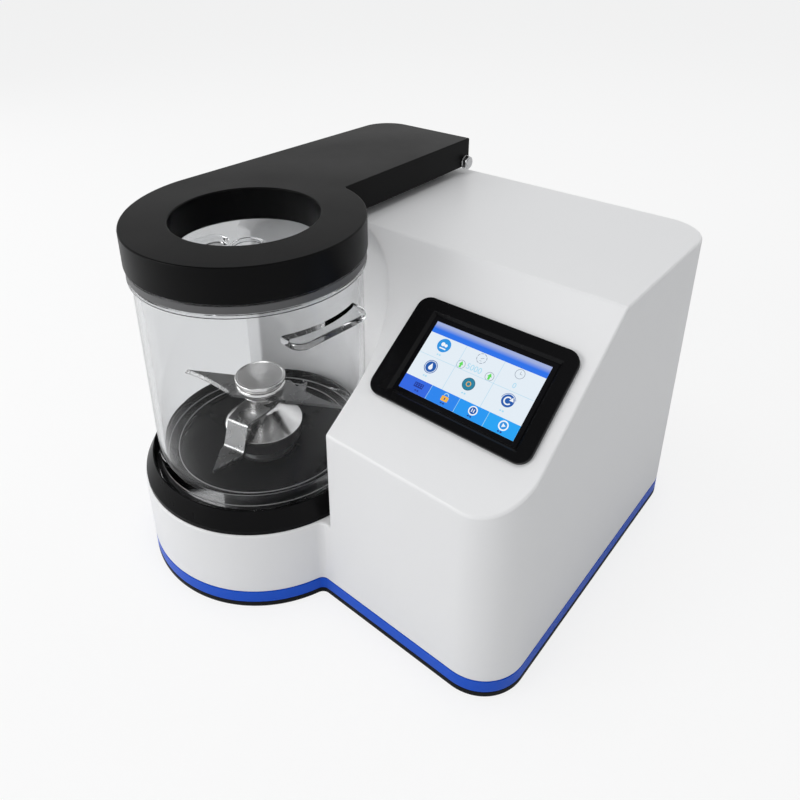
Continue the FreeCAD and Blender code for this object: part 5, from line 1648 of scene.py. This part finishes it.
@dataclass
class Studio:
    """The floor, the soft lights and the camera at the photograph's angle."""

    camera_place: tuple[float, float, float] = (384.9, -476.3, 582.5)
    yaw: float = -0.717
    pitch: float = -0.436
    roll: float = -0.014
    lens: float = 32.995
    shift_x: float = 0.0319
    shift_y: float = -0.1875
    sky: float = 0.45
    key: float = 19.0
    fill: float = 2.5
    left: float = 7.0
    top: float = 10.0
    back: float = 8.0
    aim: tuple[float, float, float] = (0.0, 0.0, 0.17)

    def floor(self) -> None:
        """Lays the pale floor, which shows nearly white to the camera and keeps the shadow."""
        bpy.ops.object.select_all(action="DESELECT")
        bpy.ops.mesh.primitive_plane_add(size=30, location=(0, 0, -0.0004))
        ground = bpy.context.object
        ground.name = "studio_floor"
        made = bpy.data.materials.new("pale floor")
        made.use_nodes = True
        tree = made.node_tree
        shader = tree.nodes["Principled BSDF"]
        shader.inputs["Base Color"].default_value = (0.86, 0.86, 0.86, 1)
        shader.inputs["Roughness"].default_value = 0.9
        shader.inputs["Specular IOR Level"].default_value = 0.1
        white = tree.nodes.new("ShaderNodeEmission")
        white.inputs["Color"].default_value = (1, 1, 1, 1)
        seen = tree.nodes.new("ShaderNodeLightPath").outputs["Is Camera Ray"]
        part = tree.nodes.new("ShaderNodeMath")
        part.operation = "MULTIPLY"
        part.inputs[1].default_value = 0.8
        mix = tree.nodes.new("ShaderNodeMixShader")
        tree.links.new(seen, part.inputs[0])
        tree.links.new(part.outputs["Value"], mix.inputs["Fac"])
        tree.links.new(shader.outputs["BSDF"], mix.inputs[1])
        tree.links.new(white.outputs["Emission"], mix.inputs[2])
        tree.links.new(mix.outputs["Shader"], tree.nodes["Material Output"].inputs["Surface"])
        ground.data.materials.append(made)

    @staticmethod
    def background_rays(tree: bpy.types.NodeTree) -> bpy.types.NodeSocket:
        """Marks the rays that see the background: camera, glossy and transmission rays.

        Args:
            tree: The world's tree.

        Returns:
            The socket that gives 1 for those rays.
        """
        path = tree.nodes.new("ShaderNodeLightPath")
        first = tree.nodes.new("ShaderNodeMath")
        first.operation = "MAXIMUM"
        second = tree.nodes.new("ShaderNodeMath")
        second.operation = "MAXIMUM"
        tree.links.new(path.outputs["Is Camera Ray"], first.inputs[0])
        tree.links.new(path.outputs["Is Glossy Ray"], first.inputs[1])
        tree.links.new(first.outputs["Value"], second.inputs[0])
        tree.links.new(path.outputs["Is Transmission Ray"], second.inputs[1])
        return second.outputs["Value"]

    def sky_light(self) -> None:
        """Gives the world a plain level, and a white background to the rays that see it."""
        world = bpy.data.worlds.new("soft sky")
        bpy.context.scene.world = world
        world.use_nodes = True
        tree = world.node_tree
        dim = tree.nodes["Background"]
        dim.inputs["Color"].default_value = (0.97, 0.985, 1.0, 1)
        dim.inputs["Strength"].default_value = self.sky
        bright = tree.nodes.new("ShaderNodeBackground")
        bright.inputs["Color"].default_value = (1, 1, 1, 1)
        tree.links.new(self.dark_ceiling(tree), bright.inputs["Strength"])
        mix = tree.nodes.new("ShaderNodeMixShader")
        tree.links.new(self.background_rays(tree), mix.inputs["Fac"])
        tree.links.new(dim.outputs["Background"], mix.inputs[1])
        tree.links.new(bright.outputs["Background"], mix.inputs[2])
        tree.links.new(mix.outputs["Shader"], tree.nodes["World Output"].inputs["Surface"])

    @staticmethod
    def dark_ceiling(tree: bpy.types.NodeTree) -> bpy.types.NodeSocket:
        """Sets a level of 1, which for glossy rays falls from the horizon to a dark ceiling.

        Args:
            tree: The world's tree.

        Returns:
            The socket that gives the level.
        """
        height = tree.nodes.new("ShaderNodeSeparateXYZ")
        tree.links.new(tree.nodes.new("ShaderNodeTexCoord").outputs["Generated"], height.inputs["Vector"])
        fall = tree.nodes.new("ShaderNodeValToRGB")
        for place, level in ((0.24, 1.0), (0.46, 0.30), (0.75, 0.10), (0.92, 0.15), (0.97, 0.80)):
            stop = fall.color_ramp.elements.new(place)
            stop.color = (level, level, level, 1)
        fall.color_ramp.elements[0].color = (1, 1, 1, 1)
        fall.color_ramp.elements[-1].color = (0.90, 0.90, 0.90, 1)
        path = tree.nodes.new("ShaderNodeLightPath")
        level = tree.nodes.new("ShaderNodeMix")
        tree.links.new(height.outputs["Z"], fall.inputs["Fac"])
        tree.links.new(path.outputs["Is Glossy Ray"], level.inputs["Factor"])
        level.inputs["A"].default_value = 1.0
        tree.links.new(fall.outputs["Color"], level.inputs["B"])
        return level.outputs["Result"]

    def softbox(self, name: str, place: Sequence[float], size: Sequence[float],
                power: float) -> bpy.types.Object:
        """Hangs one soft area light, aimed at the middle of the machine.

        Args:
            name: The light's name.
            place: Where it hangs, in metres.
            size: Its two widths, in metres.
            power: Its power, in watts.

        Returns:
            The light.
        """
        bpy.ops.object.select_all(action="DESELECT")
        bpy.ops.object.light_add(type="AREA", location=place)
        lamp = bpy.context.object
        lamp.name = name
        lamp.data.shape = "RECTANGLE"
        lamp.data.size, lamp.data.size_y = size
        lamp.data.energy = power
        aim = Vector(self.aim) - Vector(place)
        lamp.rotation_euler = aim.to_track_quat("-Z", "Y").to_euler()
        return lamp

    def camera(self) -> None:
        """Sets the camera where the photograph was taken from."""
        bpy.ops.object.camera_add(location=Vector(self.camera_place) * MM)
        camera = bpy.context.object
        camera.name = "photo_camera"
        turn = (Matrix.Rotation(-self.yaw, 3, "Z") @ Matrix.Rotation(math.pi / 2 + self.pitch, 3, "X")
                @ Matrix.Rotation(self.roll, 3, "Z"))
        camera.rotation_euler = turn.to_euler()
        camera.data.lens = self.lens
        camera.data.sensor_width = 36.0
        camera.data.shift_x = self.shift_x
        camera.data.shift_y = self.shift_y
        camera.data.clip_start = 0.01
        bpy.context.scene.camera = camera

    def build(self) -> None:
        """Sets up the floor, the lights, the camera and the view."""
        self.floor()
        self.sky_light()
        self.softbox("key_light", (-1.0, -2.0, 1.0), (1.4, 1.1), self.key)
        self.softbox("fill_light", (2.2, -0.3, 1.2), (1.0, 1.4), self.fill)
        self.softbox("left_light", (-2.0, -0.5, 0.9), (1.2, 1.0), self.left).visible_glossy = False
        self.softbox("top_light", (-0.1, -0.5, 2.3), (1.2, 0.9), self.top).visible_glossy = False
        self.softbox("back_light", (-0.2, 1.6, 2.0), (2.0, 0.8), self.back)
        self.camera()
        bpy.context.scene.view_settings.view_transform = "Standard"


def main() -> None:
    """Builds every sub-assembly in order, then the studio."""
    for part in (Housing(), Collar(), Jar(), LidArm(), Knife(), Display(), RearPanel(), KeptNodes(),
                 Studio()):
        log.info("building %s", type(part).__name__)
        part.build()


if __name__ == "__main__":
    main()
